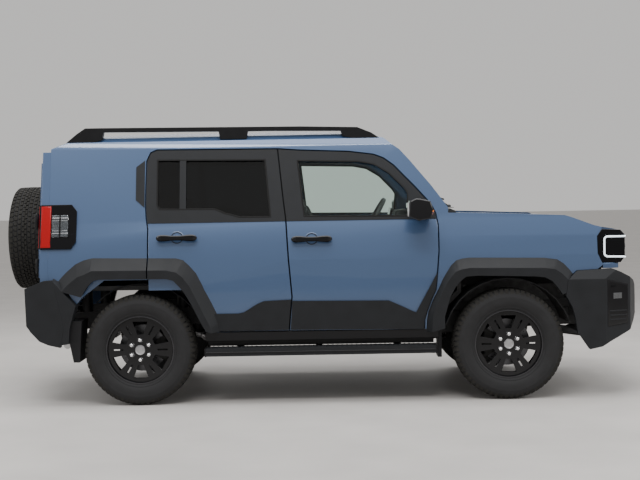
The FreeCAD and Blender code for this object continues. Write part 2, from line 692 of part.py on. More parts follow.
def handle(name, x_share, z_share):
    """A grip that stands off the door on its two feet."""
    x0 = s.half_length * x_share
    z0 = s.roof_height * z_share
    long = s.door_depth * 2.6
    grip = box(name + "_grip", x0, x0 + long, s.half_width - s.door_inset * 0.5,
               s.half_width + s.door_inset * 0.5, z0 - s.skin_thickness, z0 + s.skin_thickness)
    foot_in = s.half_width - s.door_depth * 0.9
    feet = []
    for i, place in enumerate((x0, x0 + long - s.frame_depth * 0.6)):
        feet.append(box(name + "_foot" + str(i), place, place + s.frame_depth * 0.6, foot_in,
                        s.half_width, z0 - s.skin_thickness, z0 + s.skin_thickness))
    return cut(name, fuse(name + "_whole", [grip] + feet), [outer])


def door_trim(name, cladding, others):
    """Cladding, grip and what else rides on a door, as solids of one node."""
    group = doc.addObject("Part::Compound", name)
    group.Links = [cladding] + others
    return group


front_clad_edge = side_prism("front_clad_edge", grown(on_body(front_cladding_shares), zero - half_gap))
front_clad = common("front_clad", [trim_layer, front_clad_edge])
rear_clad_edge = side_prism("rear_clad_edge", grown(on_body(rear_cladding_shares), zero - half_gap))
rear_clad = common("rear_clad", [trim_layer, rear_clad_edge])
front_sash = sash("front_sash", front_door_shares, front_window_shares)
rear_sash = sash("rear_sash", rear_door_shares, rear_window_shares, rear_bar_shares)
quarter_left = common("quarter_left", [sash_layer, side_prism("quarter_edge", on_body(quarter_shares))])
front_handle = handle("front_handle", -0.0730, 0.5857)
rear_handle = handle("rear_handle", -0.4848, 0.5975)
mirror_points = on_body(mirror_shares)
mirror_head = prism("mirror_head", "XZ", mirror_points, s.half_width, across.mirror_reach)
mirror_arm = prism("mirror_arm", "XZ", on_body(mirror_arm_shares), across.mirror_foot, across.mirror_reach)
mirror_left = cut("mirror_left", fuse("mirror_whole", [mirror_head, mirror_arm]), [outer, front_sash])


def flare(name, outer_table, crease_table, opening_table, axle_x):
    """A wheel-arch flare: its face swells from the outline to a crease, then the arch is cut out."""
    body = doc.addObject("PartDesign::Body", name + "_swell")
    base = outline(body, "XZ", on_axle(outer_table, axle_x))
    crest = outline(body, "XZ", on_axle(crease_table, axle_x))
    crest.Label = name + "_crest"
    bind(base, ".AttachmentOffset.Base.z", zero - across.flare_root)
    bind(crest, ".AttachmentOffset.Base.z", zero - s.flare_half_width)
    swell = body.newObject("PartDesign::AdditiveLoft", name + "_loft")
    swell.Profile = base
    swell.Sections = [crest]
    swell.Ruled = True
    opening = side_prism(name + "_opening", on_axle(opening_table, axle_x))
    return cut(name, body, [outer, opening])


front_flare = flare("front_flare_whole", front_flare_outer_shares, front_flare_crease_shares,
                    front_arch_shares, s.front_axle_x)
rear_flare = flare("rear_flare_whole", rear_flare_outer_shares, rear_flare_crease_shares,
                   rear_arch_shares, rear_axle_x)
door_half = box("door_half", along.flare_split + half_gap, zero, zero, s.half_length, zero, s.roof_height)
body_half = box("body_half", zero - s.half_length, along.flare_split - half_gap, zero, s.half_length,
                zero, s.roof_height)
rear_flare_door = common("rear_flare_door", [rear_flare, door_half])
rear_flare_body = common("rear_flare_body", [rear_flare, body_half])

# Bumpers.
bumper_side = prism("bumper_side", "XZ", on_body(front_bumper_shares), zero - past_half, past_half * 2)
bumper_plan = prism("bumper_plan", "XY",
                    [(s.half_length * u, s.half_width * v) for u, v in bumper_plan_shares],
                    up.bumper_low, up.bumper_span)
bumper_core = prism("bumper_core", "XY",
                    [(s.half_length * u, s.half_width * v) for u, v in bumper_core_shares],
                    up.bumper_low - s.cut_overrun, up.bumper_span + s.cut_overrun * 2)
bumper_front = prism("bumper_front", "YZ", [(s.flare_half_width * u, s.roof_height * v)
                                            for u, v in bumper_front_shares], zero, s.half_length)
bumper_solid = common("bumper_solid", [bumper_side, bumper_plan, bumper_front])
rail_inner = s.frame_rail_outer - s.frame_rail_width
front_stays = []
rear_stays = []
for side in (1, -1):
    mark = "a" if side == 1 else "b"
    y0 = rail_inner if side == 1 else zero - s.frame_rail_outer
    y1 = s.frame_rail_outer if side == 1 else zero - rail_inner
    front_stays.append(box("front_stay" + mark, along.front_stay_back + s.seat_gap,
                           along.front_stay_front, y0, y1, up.stay_low, up.stay_top))
    rear_stays.append(box("rear_stay" + mark, along.rear_stay_back, along.rear_stay_front - s.seat_gap,
                          y0, y1, up.stay_low, up.stay_top))
front_bumper = fuse("front_bumper_whole", [cut("front_bumper_wall", bumper_solid, [bumper_core])] + front_stays)
bumper_seat = prism("bumper_seat", "XZ", grown(on_body(front_bumper_shares), s.seat_gap * 5),
                    zero - past_half, past_half * 2)
front_flare_left = cut("front_flare_left", front_flare, [bumper_seat])
flares = doc.addObject("Part::Compound", "arch_flares")
flares.Links = [front_flare_left, rear_flare_body, mirror("front_flare_right", front_flare_left),
                mirror("rear_flare_right", rear_flare_body)]

rear_corner = prism("rear_corner", "XZ", on_body(rear_bumper_shares), across.bumper_corner,
                    s.flare_half_width - across.bumper_corner)
rear_middle = prism("rear_middle", "XZ", on_body(rear_bumper_centre_shares), zero - across.bumper_corner,
                    across.bumper_corner * 2)
rear_core_points = [(s.half_length * u, s.half_width * v) for u, v in rear_core_shares]
rear_core = prism("rear_core", "XY", rear_core_points, zero, s.roof_height)
rear_bumper_whole = fuse("rear_bumper_whole",
                         [rear_corner, mirror("rear_corner_right", rear_corner), rear_middle])
rear_bumper = fuse("rear_bumper_joined", [cut("rear_bumper_wall", rear_bumper_whole, [rear_core])] + rear_stays)

# Body side with its jambs, pillars and openings.
silhouette = side_prism("silhouette", on_body(side_silhouette_shares), s.roof_half_span)
side_raw = common("side_raw", [wall_layer, silhouette])
side_tools = []
for label, table in (("front", front_door_shares), ("rear", rear_door_shares)):
    jamb_edge = side_prism(label + "_jamb_edge", grown(on_body(table), half_gap))
    side_tools.append(common(label + "_jamb", [jamb_layer, jamb_edge]))
side_tools.append(side_prism("front_aperture", on_body(front_aperture_shares)))
side_tools.append(side_prism("rear_aperture", on_body(rear_aperture_shares)))
fender_inside = envelope("fender_inside", s.fender_depth + s.seat_gap, s.fender_depth + s.seat_gap)
fender_seat = common("fender_seat", [cut("fender_space", trim_face, [fender_inside]),
                                     side_prism("fender_seat_edge", grown(on_body(fender_shares), s.seat_gap))])
side_tools.append(fender_seat)
side_tools.append(box("sill_seam", along.sill_back, along.sill_front, zero, past_half,
                      up.sill_top - s.seat_gap, up.sill_top))
strikers = []
for i, (x_share, z_share) in enumerate(striker_shares):
    strikers.append(rod("striker" + str(i), s.run_gap * 1.5, s.wall_depth * 0.8,
                        s.half_length * x_share, across.striker, s.roof_height * z_share))
striker_layer = common("striker_layer", [fuse("striker_rods", strikers),
                                         envelope("striker_face", s.door_depth + s.seat_gap,
                                                  s.frame_depth + s.seat_gap)])
side_left = fuse("side_left", [cut("side_cut", side_raw, side_tools), striker_layer])

roof_prism = prism("roof_prism", "XZ", on_body(roof_shares), zero - s.roof_half_span, s.roof_half_span * 2)
outer_both = envelope("outer_both", zero, zero, True)
roof_back = envelope("roof_back", s.panel_thickness, s.panel_thickness, True)
roof_hollow = prism("roof_hollow", "XZ", on_body(roof_hollow_shares), zero - s.roof_half_span - s.cut_overrun,
                    (s.roof_half_span + s.cut_overrun) * 2)
roof = cut("roof_panel", common("roof_solid", [outer_both, roof_prism]),
           [common("roof_inside", [roof_back, roof_hollow])])
cabin = envelope("cabin", s.wall_depth + s.seat_gap, s.pillar_depth + s.seat_gap, True)

# Back wall with the opening that the back door fills.
ring_block = box("ring_block", along.rear_face, along.rear_ring, zero - past_half, past_half,
                 up.ring_low, up.ring_top)
rim_inside = envelope("rim_inside", s.back_rim_depth, s.back_rim_depth, True)
lid_inside = envelope("lid_inside", s.back_rim_depth + s.shut_gap, s.back_rim_depth + s.shut_gap, True)
ring_hole = common("ring_hole", [box("ring_space", along.rear_face - s.cut_overrun,
                                     along.rear_ring + s.cut_overrun,
                                     zero - s.half_width, s.half_width, up.back_door_low, up.back_door_top),
                                 rim_inside])
back_ring = cut("back_ring", common("ring_solid", [ring_block, outer_both]), [ring_hole])
back_panel_x = along.rear_face - s.frame_depth * 0.5
back_block = common("back_block", [box("back_slab", back_panel_x, along.rear_ring, zero - s.half_width,
                                       s.half_width, up.back_door_low + s.shut_gap, up.back_door_top - s.shut_gap),
                                   lid_inside])
back_light = box("back_light", back_panel_x - s.cut_overrun, along.rear_ring + s.cut_overrun,
                 zero - across.back_light, across.back_light, up.back_light_low, up.back_light_top)
back_rebate = box("back_rebate", back_panel_x + s.skin_thickness, along.rear_ring + s.cut_overrun,
                  zero - across.back_light - s.glass_overlap - s.seat_gap,
                  across.back_light + s.glass_overlap + s.seat_gap,
                  up.back_light_low - s.glass_overlap - s.seat_gap,
                  up.back_light_top + s.glass_overlap + s.seat_gap)
spare_x = s.tyre_width * 0.5 - s.half_length
spare_seat_x = spare_x - (s.rim_width * 0.5 - s.rim_dish_inset - s.rim_disc_thickness - s.hub_depth) + s.seat_gap
carrier = rod("carrier", s.hub_radius, back_panel_x - spare_seat_x + s.skin_thickness, spare_seat_x, zero,
              up.spare, "x")
back_door = cut("back_door_panel", fuse("back_door_whole", [back_block, carrier]),
                [back_light, back_rebate])
back_glass = box("back_glass_pane", back_panel_x + s.skin_thickness + s.seat_gap,
                 back_panel_x + s.skin_thickness + s.seat_gap + s.glass_thickness,
                 zero - across.back_light - s.glass_overlap, across.back_light + s.glass_overlap,
                 up.back_light_low - s.glass_overlap, up.back_light_top + s.glass_overlap)

# Nose: fenders, bonnet, lamps and grille.
fender_back = envelope("fender_back", s.fender_depth, s.fender_depth)
fender_skin = common("fender_skin", [cut("fender_layer", outer, [fender_back]),
                                     side_prism("fender_edge", on_body(fender_shares))])
fender_mouth = side_prism("fender_mouth", on_axle(front_arch_shares, s.front_axle_x))
lamp_points = on_body(headlamp_shares)
lamp_seat = prism("lamp_seat", "XZ", grown(lamp_points, s.seat_gap), across.lamp_in, s.half_width)
fender_left = cut("fender_left", fender_skin, [fender_mouth, lamp_seat, bumper_seat])
bonnet_clear = prism("bonnet_clear", "XZ", on_body(bonnet_clear_shares),
                     zero - s.bonnet_half_width - s.shut_gap, (s.bonnet_half_width + s.shut_gap) * 2)
lamp_left = cut("lamp_left", prism("lamp_solid", "XZ", lamp_points, across.lamp_in, across.lamp_wide),
                [bonnet_clear])
bonnet_plate = prism("bonnet_plate", "XZ", on_body(bonnet_shares), zero - s.bonnet_half_width,
                     s.bonnet_half_width * 2)
pin_x = along.bonnet_pin
pin_z = up.bonnet_pin
pin_y = s.roof_half_span
bonnet_tools = []
bonnet_bosses = []
cowl_ears = []
for side in (1, -1):
    mark = "a" if side == 1 else "b"
    middle = pin_y * side
    for step in (1, -1):
        ear_mid = middle + s.boss_length * 0.6 * step
        bonnet_tools.append(box("notch" + mark + str(step + 1), pin_x - s.boss_radius * 2,
                                pin_x + s.boss_radius * 1.8, ear_mid - s.ear_width - s.run_gap * 0.5,
                                ear_mid + s.ear_width + s.run_gap * 0.5, up.notch_low,
                                up.notch_top))
        cowl_ears.append(box("ear" + mark + str(step + 1), pin_x - s.boss_radius * 2.6, pin_x + s.boss_radius * 0.8,
                             ear_mid - s.ear_width * 0.5, ear_mid + s.ear_width * 0.5,
                             pin_z - s.boss_radius, pin_z + s.boss_radius))
    boss = rod("boss" + mark, s.boss_radius, s.boss_length * 0.9, pin_x, middle - s.boss_length * 0.45, pin_z)
    bonnet_bosses.append(boss)
    bonnet_tools.append(rod("boss_bore" + mark, s.bonnet_pin_radius + s.bearing_gap, s.boss_length * 1.6, pin_x,
                            middle - s.boss_length * 0.8, pin_z))
    cowl_ears.append(rod("bonnet_pin" + mark, s.bonnet_pin_radius, s.boss_length * 1.2, pin_x,
                         middle - s.boss_length * 0.6, pin_z))
bonnet = cut("bonnet_panel", fuse("bonnet_whole", [bonnet_plate] + bonnet_bosses), bonnet_tools)
cowl_bar = prism("cowl_bar", "XZ", on_body(cowl_shares), zero - s.half_width, s.half_width * 2)
cowl = fuse("cowl_panel", [common("cowl_fitted", [cowl_bar, cabin])] + cowl_ears)
grille_half = across.lamp_in - s.seat_gap
grille_frame = cut("grille_frame", box("grille_block", along.grille_back, along.grille_face, zero - grille_half,
                                       grille_half, up.grille_low, up.grille_top),
                   [box("grille_hole", along.grille_back - s.cut_overrun, along.grille_face + s.cut_overrun,
                        s.panel_thickness - grille_half, grille_half - s.panel_thickness,
                        up.grille_low + s.panel_thickness, up.grille_top - s.panel_thickness)])
fins = []
fin_pitch = (up.grille_top - up.grille_low) * 0.25
for i in range(3):
    fin_z = up.grille_low + fin_pitch * (i + 1)
    fins.append(box("grille_fin" + str(i), along.grille_back, along.grille_face, zero - grille_half, grille_half,
                    fin_z - s.panel_thickness * 0.5, fin_z + s.panel_thickness * 0.5))
grille = fuse("grille_whole", [grille_frame] + fins)
tail_points = on_body(tail_lamp_shares)
tail_prism = prism("tail_prism", "XZ", tail_points, across.lamp_in, across.tail_wide)
tail_left = common("tail_left", [tail_prism, trim_layer])

# Screen, rails, steps and floor.
windscreen = common("windscreen_pane", [prism("screen_sheet", "XZ", on_body(windscreen_shares),
                                               zero - s.half_width, s.half_width * 2), cabin])
roof_rail = prism("roof_rail", "XZ", on_body(roof_rail_shares), s.rail_top_half_width - s.panel_thickness,
                  s.panel_thickness * 2)
roof_rail_left = cut("roof_rail_left", roof_rail, [outer])
floor_pan = common("floor_tub", [prism("floor_sheet", "XZ", on_body(floor_shares), zero - s.half_width,
                                         s.half_width * 2), cabin])
step_board = box("step_board", along.step_back, along.step_front, across.step_in,
                 s.flare_half_width, up.step_low, up.step_top)
step_parts = [step_board]
for i, share in enumerate((-0.25, 0.0, 0.25)):
    at = s.half_length * share
    step_parts.append(box("step_arm" + str(i), at - s.panel_thickness, at + s.panel_thickness,
                          s.frame_rail_outer - s.panel_thickness, across.step_in + s.panel_thickness,
                          up.step_low + s.seat_gap, up.step_low + s.panel_thickness))
    step_parts.append(box("step_lug" + str(i), at - s.panel_thickness, at + s.panel_thickness,
                          s.frame_rail_outer - s.panel_thickness, s.frame_rail_outer,
                          up.step_low + s.seat_gap, up.step_lug - s.seat_gap))
step_left = fuse("step_left", step_parts)

# Frame, axle, arms and driveline.
shock_y = s.roof_half_span * 0.8
shock_out = s.roof_half_span * 0.85
rail_left = prism("rail_left", "XZ", on_body(rail_shares), rail_inner, s.frame_rail_width)
frame_parts = [rail_left, mirror("rail_right", rail_left)]
for i, (x_share, z_share) in enumerate(crossmember_shares):
    frame_parts.append(rod("crossmember" + str(i), s.crossmember_radius,
                           s.frame_rail_outer * 2 - s.crossmember_radius, s.half_length * x_share,
                           zero - s.frame_rail_outer + s.crossmember_radius * 0.5,
                           s.roof_height * z_share))
for i, (x_share, low_share, top_share) in enumerate(body_mount_shares):
    for side in (1, -1):
        frame_parts.append(rod("puck" + str(i) + ("a" if side == 1 else "b"), s.crossmember_radius,
                               s.roof_height * (top_share - low_share) - s.seat_gap,
                               s.half_length * x_share,
                               (s.frame_rail_outer - s.frame_rail_width * 0.5) * side,
                               s.roof_height * low_share, "z"))
for side in (1, -1):
    mark = "a" if side == 1 else "b"
    low_y = s.frame_rail_outer - s.frame_rail_width if side == 1 else zero - shock_out
    high_y = shock_out if side == 1 else s.frame_rail_width - s.frame_rail_outer
    frame_parts.append(box("shock_bracket" + mark, rear_axle_x - s.hub_radius * 2, rear_axle_x - s.hub_radius,
                           low_y, high_y, up.shock_seat, up.shock_top))
    frame_parts.append(box("spring_seat" + mark, rear_axle_x - s.frame_rail_width * 0.6,
                           rear_axle_x + s.frame_rail_width * 0.6,
                           rail_inner if side == 1 else zero - s.frame_rail_outer,
                           s.frame_rail_outer if side == 1 else zero - rail_inner,
                           up.spring_seat, up.spring_top))
frame = cut("frame_whole", fuse("frame_joined", frame_parts), [floor_pan])

axle_tube_radius = s.crossmember_radius * 1.1
axle_half = s.half_track - s.brake_offset - s.brake_thickness - s.run_gap
axle_tube = rod("axle_tube", axle_tube_radius, axle_half * 2, rear_axle_x, zero - axle_half, axle_z)
hub_face = s.rim_width * 0.5 - s.rim_dish_inset
hub_back = hub_face - s.rim_disc_thickness - s.hub_depth
spindle_end = s.half_track + hub_face - s.run_gap * 2
axle_pin = rod("axle_pin", s.spindle_radius, spindle_end * 2, rear_axle_x, zero - spindle_end, axle_z)
diff = turned("diff", [(s.diff_radius * u, s.diff_radius * v) for u, v in diff_shares], rear_axle_x, zero,
              axle_z)
axle_parts = [axle_tube, axle_pin, diff]
for side in (1, -1):
    mark = "a" if side == 1 else "b"
    axle_parts.append(rod("spring" + mark, s.frame_rail_width * 0.5, up.spring_seat - axle_z
                          - s.seat_gap, rear_axle_x, (s.frame_rail_outer - s.frame_rail_width * 0.5) * side,
                          axle_z, "z"))
    axle_parts.append(rod("shock" + mark, s.spindle_radius, up.shock_seat - axle_z - s.seat_gap,
                          rear_axle_x - s.hub_radius * 1.6, shock_y * side, axle_z, "z"))
    axle_parts.append(box("shock_seat" + mark, rear_axle_x - s.hub_radius * 2, rear_axle_x,
                          shock_y * side - s.spindle_radius,
                          shock_y * side + s.spindle_radius,
                          axle_z - s.spindle_radius, axle_z))
rear_axle = fuse("rear_axle_whole", axle_parts)

kingpin_y = s.kingpin_half_track
upright = box("upright", s.front_axle_x - s.frame_depth, s.front_axle_x + s.frame_depth,
              kingpin_y - s.spindle_radius, kingpin_y + s.run_gap * 2,
              axle_z - hub.upright, axle_z + hub.upright)
spindle = rod("spindle", s.spindle_radius, spindle_end - kingpin_y, s.front_axle_x, kingpin_y, axle_z)
knuckle_left = fuse("knuckle_left", [upright, spindle])

arm_outer = kingpin_y + s.spindle_radius * 0.5
arms = []
for label, z_mid in (("low", axle_z - hub.arm), ("high", axle_z + hub.arm)):
    points = [(s.front_axle_x - hub.arm_half, s.frame_rail_outer),
              (s.front_axle_x + hub.arm_half, s.frame_rail_outer),
              (s.front_axle_x + s.frame_depth * 0.9, arm_outer),
              (s.front_axle_x - s.frame_depth * 0.9, arm_outer)]
    arms.append(prism("arm_" + label, "XY", points, z_mid - s.skin_thickness, s.skin_thickness * 1.8))
arm_low_z = axle_z - hub.arm - s.skin_thickness
tower = box("tower", s.front_axle_x - hub.tower_half, s.front_axle_x + hub.tower_half,
            s.frame_rail_outer - s.frame_rail_width, s.frame_rail_outer, arm_low_z,
            up.tower_top)
beam = box("beam", s.front_axle_x - hub.arm_half, s.front_axle_x + hub.arm_half,
           zero, s.frame_rail_outer, arm_low_z, arm_low_z + s.skin_thickness * 1.8)
damper_y = s.frame_rail_outer + s.frame_depth * 1.6
damper = rod("damper", s.spindle_radius * 1.3, up.damper, s.front_axle_x, damper_y,
             arm_low_z + s.skin_thickness, "z")
damper_arm = cut("high_arm", arms[1], [rod("damper_hole", s.spindle_radius * 1.5, up.damper_hole,
                                           s.front_axle_x, damper_y, arm_low_z, "z")])
tower_top = box("tower_top", s.front_axle_x - s.frame_depth, s.front_axle_x + s.frame_depth,
                s.frame_rail_outer - s.frame_rail_width, damper_y + s.frame_depth,
                arm_low_z + s.skin_thickness + up.damper_cap_low,
                arm_low_z + s.skin_thickness + up.damper_cap_top)
studs = [rod("stud_low", s.spindle_radius * 0.5, hub.stud - s.skin_thickness * 0.8,
             s.front_axle_x, kingpin_y, axle_z - hub.arm + s.skin_thickness * 0.8, "z"),
         rod("stud_high", s.spindle_radius * 0.5, hub.stud - s.skin_thickness - s.seat_gap,
             s.front_axle_x, kingpin_y, axle_z + hub.upright + s.seat_gap, "z")]
suspension_left = fuse("suspension_left", [arms[0], damper_arm, tower, beam, damper, tower_top] + studs)
engine_block = box("engine_block", along.engine_back, along.engine_front, zero - across.engine,
                   across.engine, up.engine_low, up.engine_top)
gearbox = box("gearbox", along.gearbox_back, along.engine_back, zero - across.gearbox,
              across.gearbox, up.gearbox_low, up.gearbox_top)
bell = box("bell", along.bell_back, along.bell_front, zero - across.gearbox,
           across.gearbox, up.gearbox_low, up.bell_top)
shaft_start = rear_axle_x + s.diff_radius
shaft = rod("shaft", s.spindle_radius, along.shaft_front - shaft_start - s.seat_gap,
            shaft_start + s.seat_gap, zero, axle_z + hub.shaft_rise, "x")
engine_feet = []
for side in (1, -1):
    foot_in = across.engine_foot if side == 1 else s.seat_gap - rail_inner
    foot_out = rail_inner - s.seat_gap if side == 1 else zero - across.engine_foot
    engine_feet.append(box("engine_foot" + ("a" if side == 1 else "b"), along.engine_foot_back,
                           along.engine_foot_front, foot_in, foot_out, up.spring_seat,
                           up.engine_foot_top))
powertrain = fuse("powertrain_whole", [engine_block, gearbox, bell, shaft] + engine_feet)

# Seats, dashboard and steering wheel.
def seat(name, base_table, back_table, y0, width):
    base = prism(name + "_base", "XZ", on_body(base_table), y0, width)
    back = prism(name + "_back", "XZ", on_body(back_table), y0, width)
    return fuse(name, [base, back])


front_seat = seat("front_seat", seat_base_shares, seat_back_shares, across.seat_in, across.seat_wide)
front_head = prism("front_head", "XZ", on_body(head_shares), across.head_in, across.head_wide)
front_seat_left = fuse("front_seat_left", [front_seat, front_head])
bench = seat("bench", rear_seat_shares, rear_back_shares, zero - across.lamp_in, across.lamp_in * 2)
seats = doc.addObject("Part::Compound", "seats_group")
front_fitted = cut("front_fitted", front_seat_left, [floor_pan])
seats.Links = [front_fitted, mirror("front_seat_right", front_fitted), cut("bench_fitted", bench, [floor_pan])]
dash = prism("dash_block", "XZ", on_body(dash_shares), zero - across.dash, across.dash * 2)
steer_hub_radius = s.steer_radius * 0.3
steer_ring = turned("steer_ring", [(s.grip_radius * u, s.steer_radius + s.grip_radius * v)
                                   for u, v in grip_shares])
steer_parts = [steer_ring, rod("steer_hub", steer_hub_radius, s.grip_radius * 2, zero, zero - s.grip_radius, zero),
               rod("column", s.spindle_radius, s.steer_radius, zero, zero, zero)]
for i, turn in enumerate((0, 90, -90)):
    spoke = box("steer_spoke" + str(i), zero, s.steer_radius, zero - s.grip_radius * 0.5, s.grip_radius * 0.5,
                zero - s.spindle_radius * 0.5, s.spindle_radius * 0.5)
    spoke.Placement.Rotation = FreeCAD.Rotation(Vector(0, 1, 0), turn)
    steer_parts.append(spoke)
steering = fuse("steering_wheel_whole", steer_parts)
tilt = FreeCAD.Rotation(Vector(0, 1, 0), 120)
steering.Placement.Rotation = tilt.multiply(FreeCAD.Rotation(Vector(1, 0, 0), 90))
move(steering, along.steering, zero - across.steering, up.steering)

# Wheels: one rim and one tyre, laid out with their outer faces towards +Y and then set in place.
def around(corners):
    """Corners given as a share of the rim's radius and an angle in degrees from the top."""
    places = []
    for share, turn in corners:
        sine_share = round(share * math.sin(math.radians(turn)), 5)
        cosine_share = round(share * math.cos(math.radians(turn)), 5)
        places.append((s.rim_radius * sine_share, s.rim_radius * cosine_share))
    return places


def openings(body, name, corners, count):
    """One opening through the rim's disc, repeated around the axle."""
    sketch = outline(body, "XZ", around(corners))
    pocket = body.newObject("PartDesign::Pocket", name)
    pocket.Profile = sketch
    bind(pocket, "Length", s.rim_width)
    ring = body.newObject("PartDesign::PolarPattern", name + "_ring")
    ring.Originals = [pocket]
    ring.Axis = (sketch, ["N_Axis"])
    ring.Angle = 360
    ring.Occurrences = count
    body.Tip = ring


def placed(name, layout, x, y, z, turn):
    """A laid-out piece turned about the upright and set in its place."""
    item = doc.addObject("Part::Compound", name)
    item.Links = [layout]
    item.Placement.Rotation = FreeCAD.Rotation(Vector(0, 0, 1), turn)
    return move(item, x, y, z)


half_rim = s.rim_width * 0.5
barrel = s.rim_radius - s.rim_wall
disc_back = hub_face - s.rim_disc_thickness
cap_face = hub_face + s.cap_height
bore = s.spindle_radius + s.bearing_gap
rim_points = [(zero - half_rim, s.rim_radius), (half_rim, s.rim_radius), (half_rim, barrel), (hub_face, barrel),
              (hub_face, s.cap_radius), (cap_face, s.cap_radius), (cap_face, zero), (hub_face - s.run_gap, zero),
              (hub_face - s.run_gap, bore), (hub_back, bore), (hub_back, s.hub_radius),
              (disc_back, s.hub_radius), (disc_back, barrel), (zero - half_rim, barrel)]
rim_layout = turned("rim_layout", rim_points)
openings(rim_layout, "windows", window_corners, spoke_count)
openings(rim_layout, "slots", slot_corners, spoke_count)

# The tyre is a plain ring as wide as its bulge, which keeps its facets few.
half_tyre = s.tyre_width * 0.5
bead = s.rim_radius + s.bearing_gap
tyre_points = [(half_tyre, bead), (half_tyre, s.tyre_radius), (zero - half_tyre, s.tyre_radius),
               (zero - half_tyre, bead)]
tyre_layout = turned("tyre_layout", tyre_points)

wheels = {}
for label, x, side in (("front_left", s.front_axle_x, 1), ("front_right", s.front_axle_x, -1),
                       ("rear_left", rear_axle_x, 1), ("rear_right", rear_axle_x, -1)):
    y = s.half_track * side
    turn = 0 if side == 1 else 180
    wheels[label] = (placed("wheel_" + label, rim_layout, x, y, axle_z, turn),
                     placed("tyre_body_" + label, tyre_layout, x, y, axle_z, turn))
spare_rim = placed("spare_wheel", rim_layout, spare_x, zero, up.spare, 90)
spare_tyre = placed("spare_tyre_body", tyre_layout, spare_x, zero, up.spare, 90)

mud_rear_whole = prism("mud_rear_whole", "XZ", on_body(mud_rear_shares), across.mud_rear_in,
                       across.mud_rear_wide)
mud_rear = cut("mud_rear", mud_rear_whole, [side_left, rear_flare_body])
mud_front_whole = prism("mud_front_whole", "XZ", on_body(mud_front_shares), across.mud_front_in,
                        across.mud_front_wide)
mud_front = cut("mud_front", mud_front_whole, [side_left])
mud_left = doc.addObject("Part::Compound", "mud_left")
mud_left.Links = [mud_rear, mud_front]
tub_radius = s.tyre_radius + s.tub_clearance
front_tub_in = s.frame_rail_outer + s.frame_depth
front_tub_arc = arch_sheet(s.front_axle_x, tub_radius, s.tub_wall, 18, 162)
front_tub = prism("front_tub", "XZ", front_tub_arc, front_tub_in, across.front_tub_out - front_tub_in)
apron_whole = prism("apron_whole", "XZ", on_body(apron_shares), s.kingpin_half_track - s.cut_overrun,
                    s.tub_wall)
apron_arc = arch_disc(s.front_axle_x, tub_radius, s.tub_wall * 0.5, 18)
apron = cut("apron", apron_whole, [prism("apron_hole", "XZ", apron_arc, s.frame_rail_outer, s.half_width),
                                   bonnet_clear, floor_pan])
rear_tub_in = s.half_track - s.tyre_width * 0.5 - s.cut_overrun
rear_tub_arc = arch_sheet(rear_axle_x, tub_radius, s.tub_wall, 38, 142)
rear_tub = cut("rear_tub", prism("rear_tub_whole", "XZ", rear_tub_arc, rear_tub_in,
                                 across.rear_tub_out - rear_tub_in), [floor_pan])
tubs_left = doc.addObject("Part::Compound", "tubs_left")
tubs_left.Links = [fuse("front_liner", [front_tub, apron]), rear_tub]
eyes = []
eye_y = s.frame_rail_outer + s.eye_margin
for i, (x_share, z_share) in enumerate(tow_eye_shares):
    eye_x = s.half_length * x_share
    eye_z = s.roof_height * z_share
    plate = box("eye_plate" + str(i), eye_x - s.eye_margin, eye_x + s.eye_margin, rail_inner + s.panel_thickness,
                eye_y + s.eye_margin, eye_z - s.eye_thickness, eye_z)
    hole = rod("eye_hole" + str(i), s.eye_radius, s.eye_thickness + s.cut_overrun * 2, eye_x, eye_y,
               eye_z - s.eye_thickness - s.cut_overrun, "z")
    eyes.append(cut("eye" + str(i), plate, [hole, rail_left]))
tow_eyes = doc.addObject("Part::Compound", "tow_eyes_group")
tow_eyes.Links = eyes

left_and_right = {
    "front_door": front_shell, "front_door_glass": front_pane,
    "rear_door": rear_shell, "rear_door_glass": rear_pane,
    "body_side": side_left, "knuckle": knuckle_left,
}
for name, left in left_and_right.items():
    finish(name + "_l", left)
    finish(name + "_r", mirror(name + "_right", left))
front_trim = door_trim("front_trim", front_clad, [front_handle, mirror_left, front_sash])
rear_trim = door_trim("rear_trim", rear_clad, [rear_handle, rear_flare_door, rear_sash])
for name, left in (("front_door_trim", front_trim), ("rear_door_trim", rear_trim)):
    finish(name + "_l", left)
    finish(name + "_r", mirror(name + "_right", left))
finish("frame", frame)
finish("floor_pan", floor_pan)
finish("roof", roof)
finish("body_rear", back_ring)
finish("front_fenders", pair("fenders", fender_left))
finish("arch_flares", flares)
finish("front_bumper", front_bumper)
finish("rear_bumper", rear_bumper)
finish("grille", grille)
finish("headlamps", pair("lamps_pair", lamp_left))
finish("tail_lamps", pair("tails_pair", tail_left))
finish("windscreen", windscreen)
finish("roof_rails", pair("rails_pair", roof_rail_left))
finish("quarter_trim", pair("quarter_pair", quarter_left))
finish("side_steps", pair("steps_pair", step_left))
finish("mud_flaps", pair("mud_pair", mud_left))
finish("wheel_tubs", pair("tubs_pair", tubs_left))
finish("tow_eyes", tow_eyes)
finish("cowl", cowl)
finish("powertrain", powertrain)
finish("rear_axle", rear_axle)
finish("front_suspension", fuse("suspension_whole", [suspension_left, mirror("suspension_right",
                                                                             suspension_left)]))
finish("seats", seats)
finish("dashboard", cut("dash_board", dash, [steering, cowl]))
finish("steering_wheel", steering)
finish("bonnet", bonnet)
finish("back_door", back_door)
finish("back_glass", back_glass)
finish("spare_rim", spare_rim)
finish("spare_tyre", spare_tyre)
for label in wheels:
    finish("rim_" + label, wheels[label][0])
    finish("tyre_" + label, wheels[label][1])

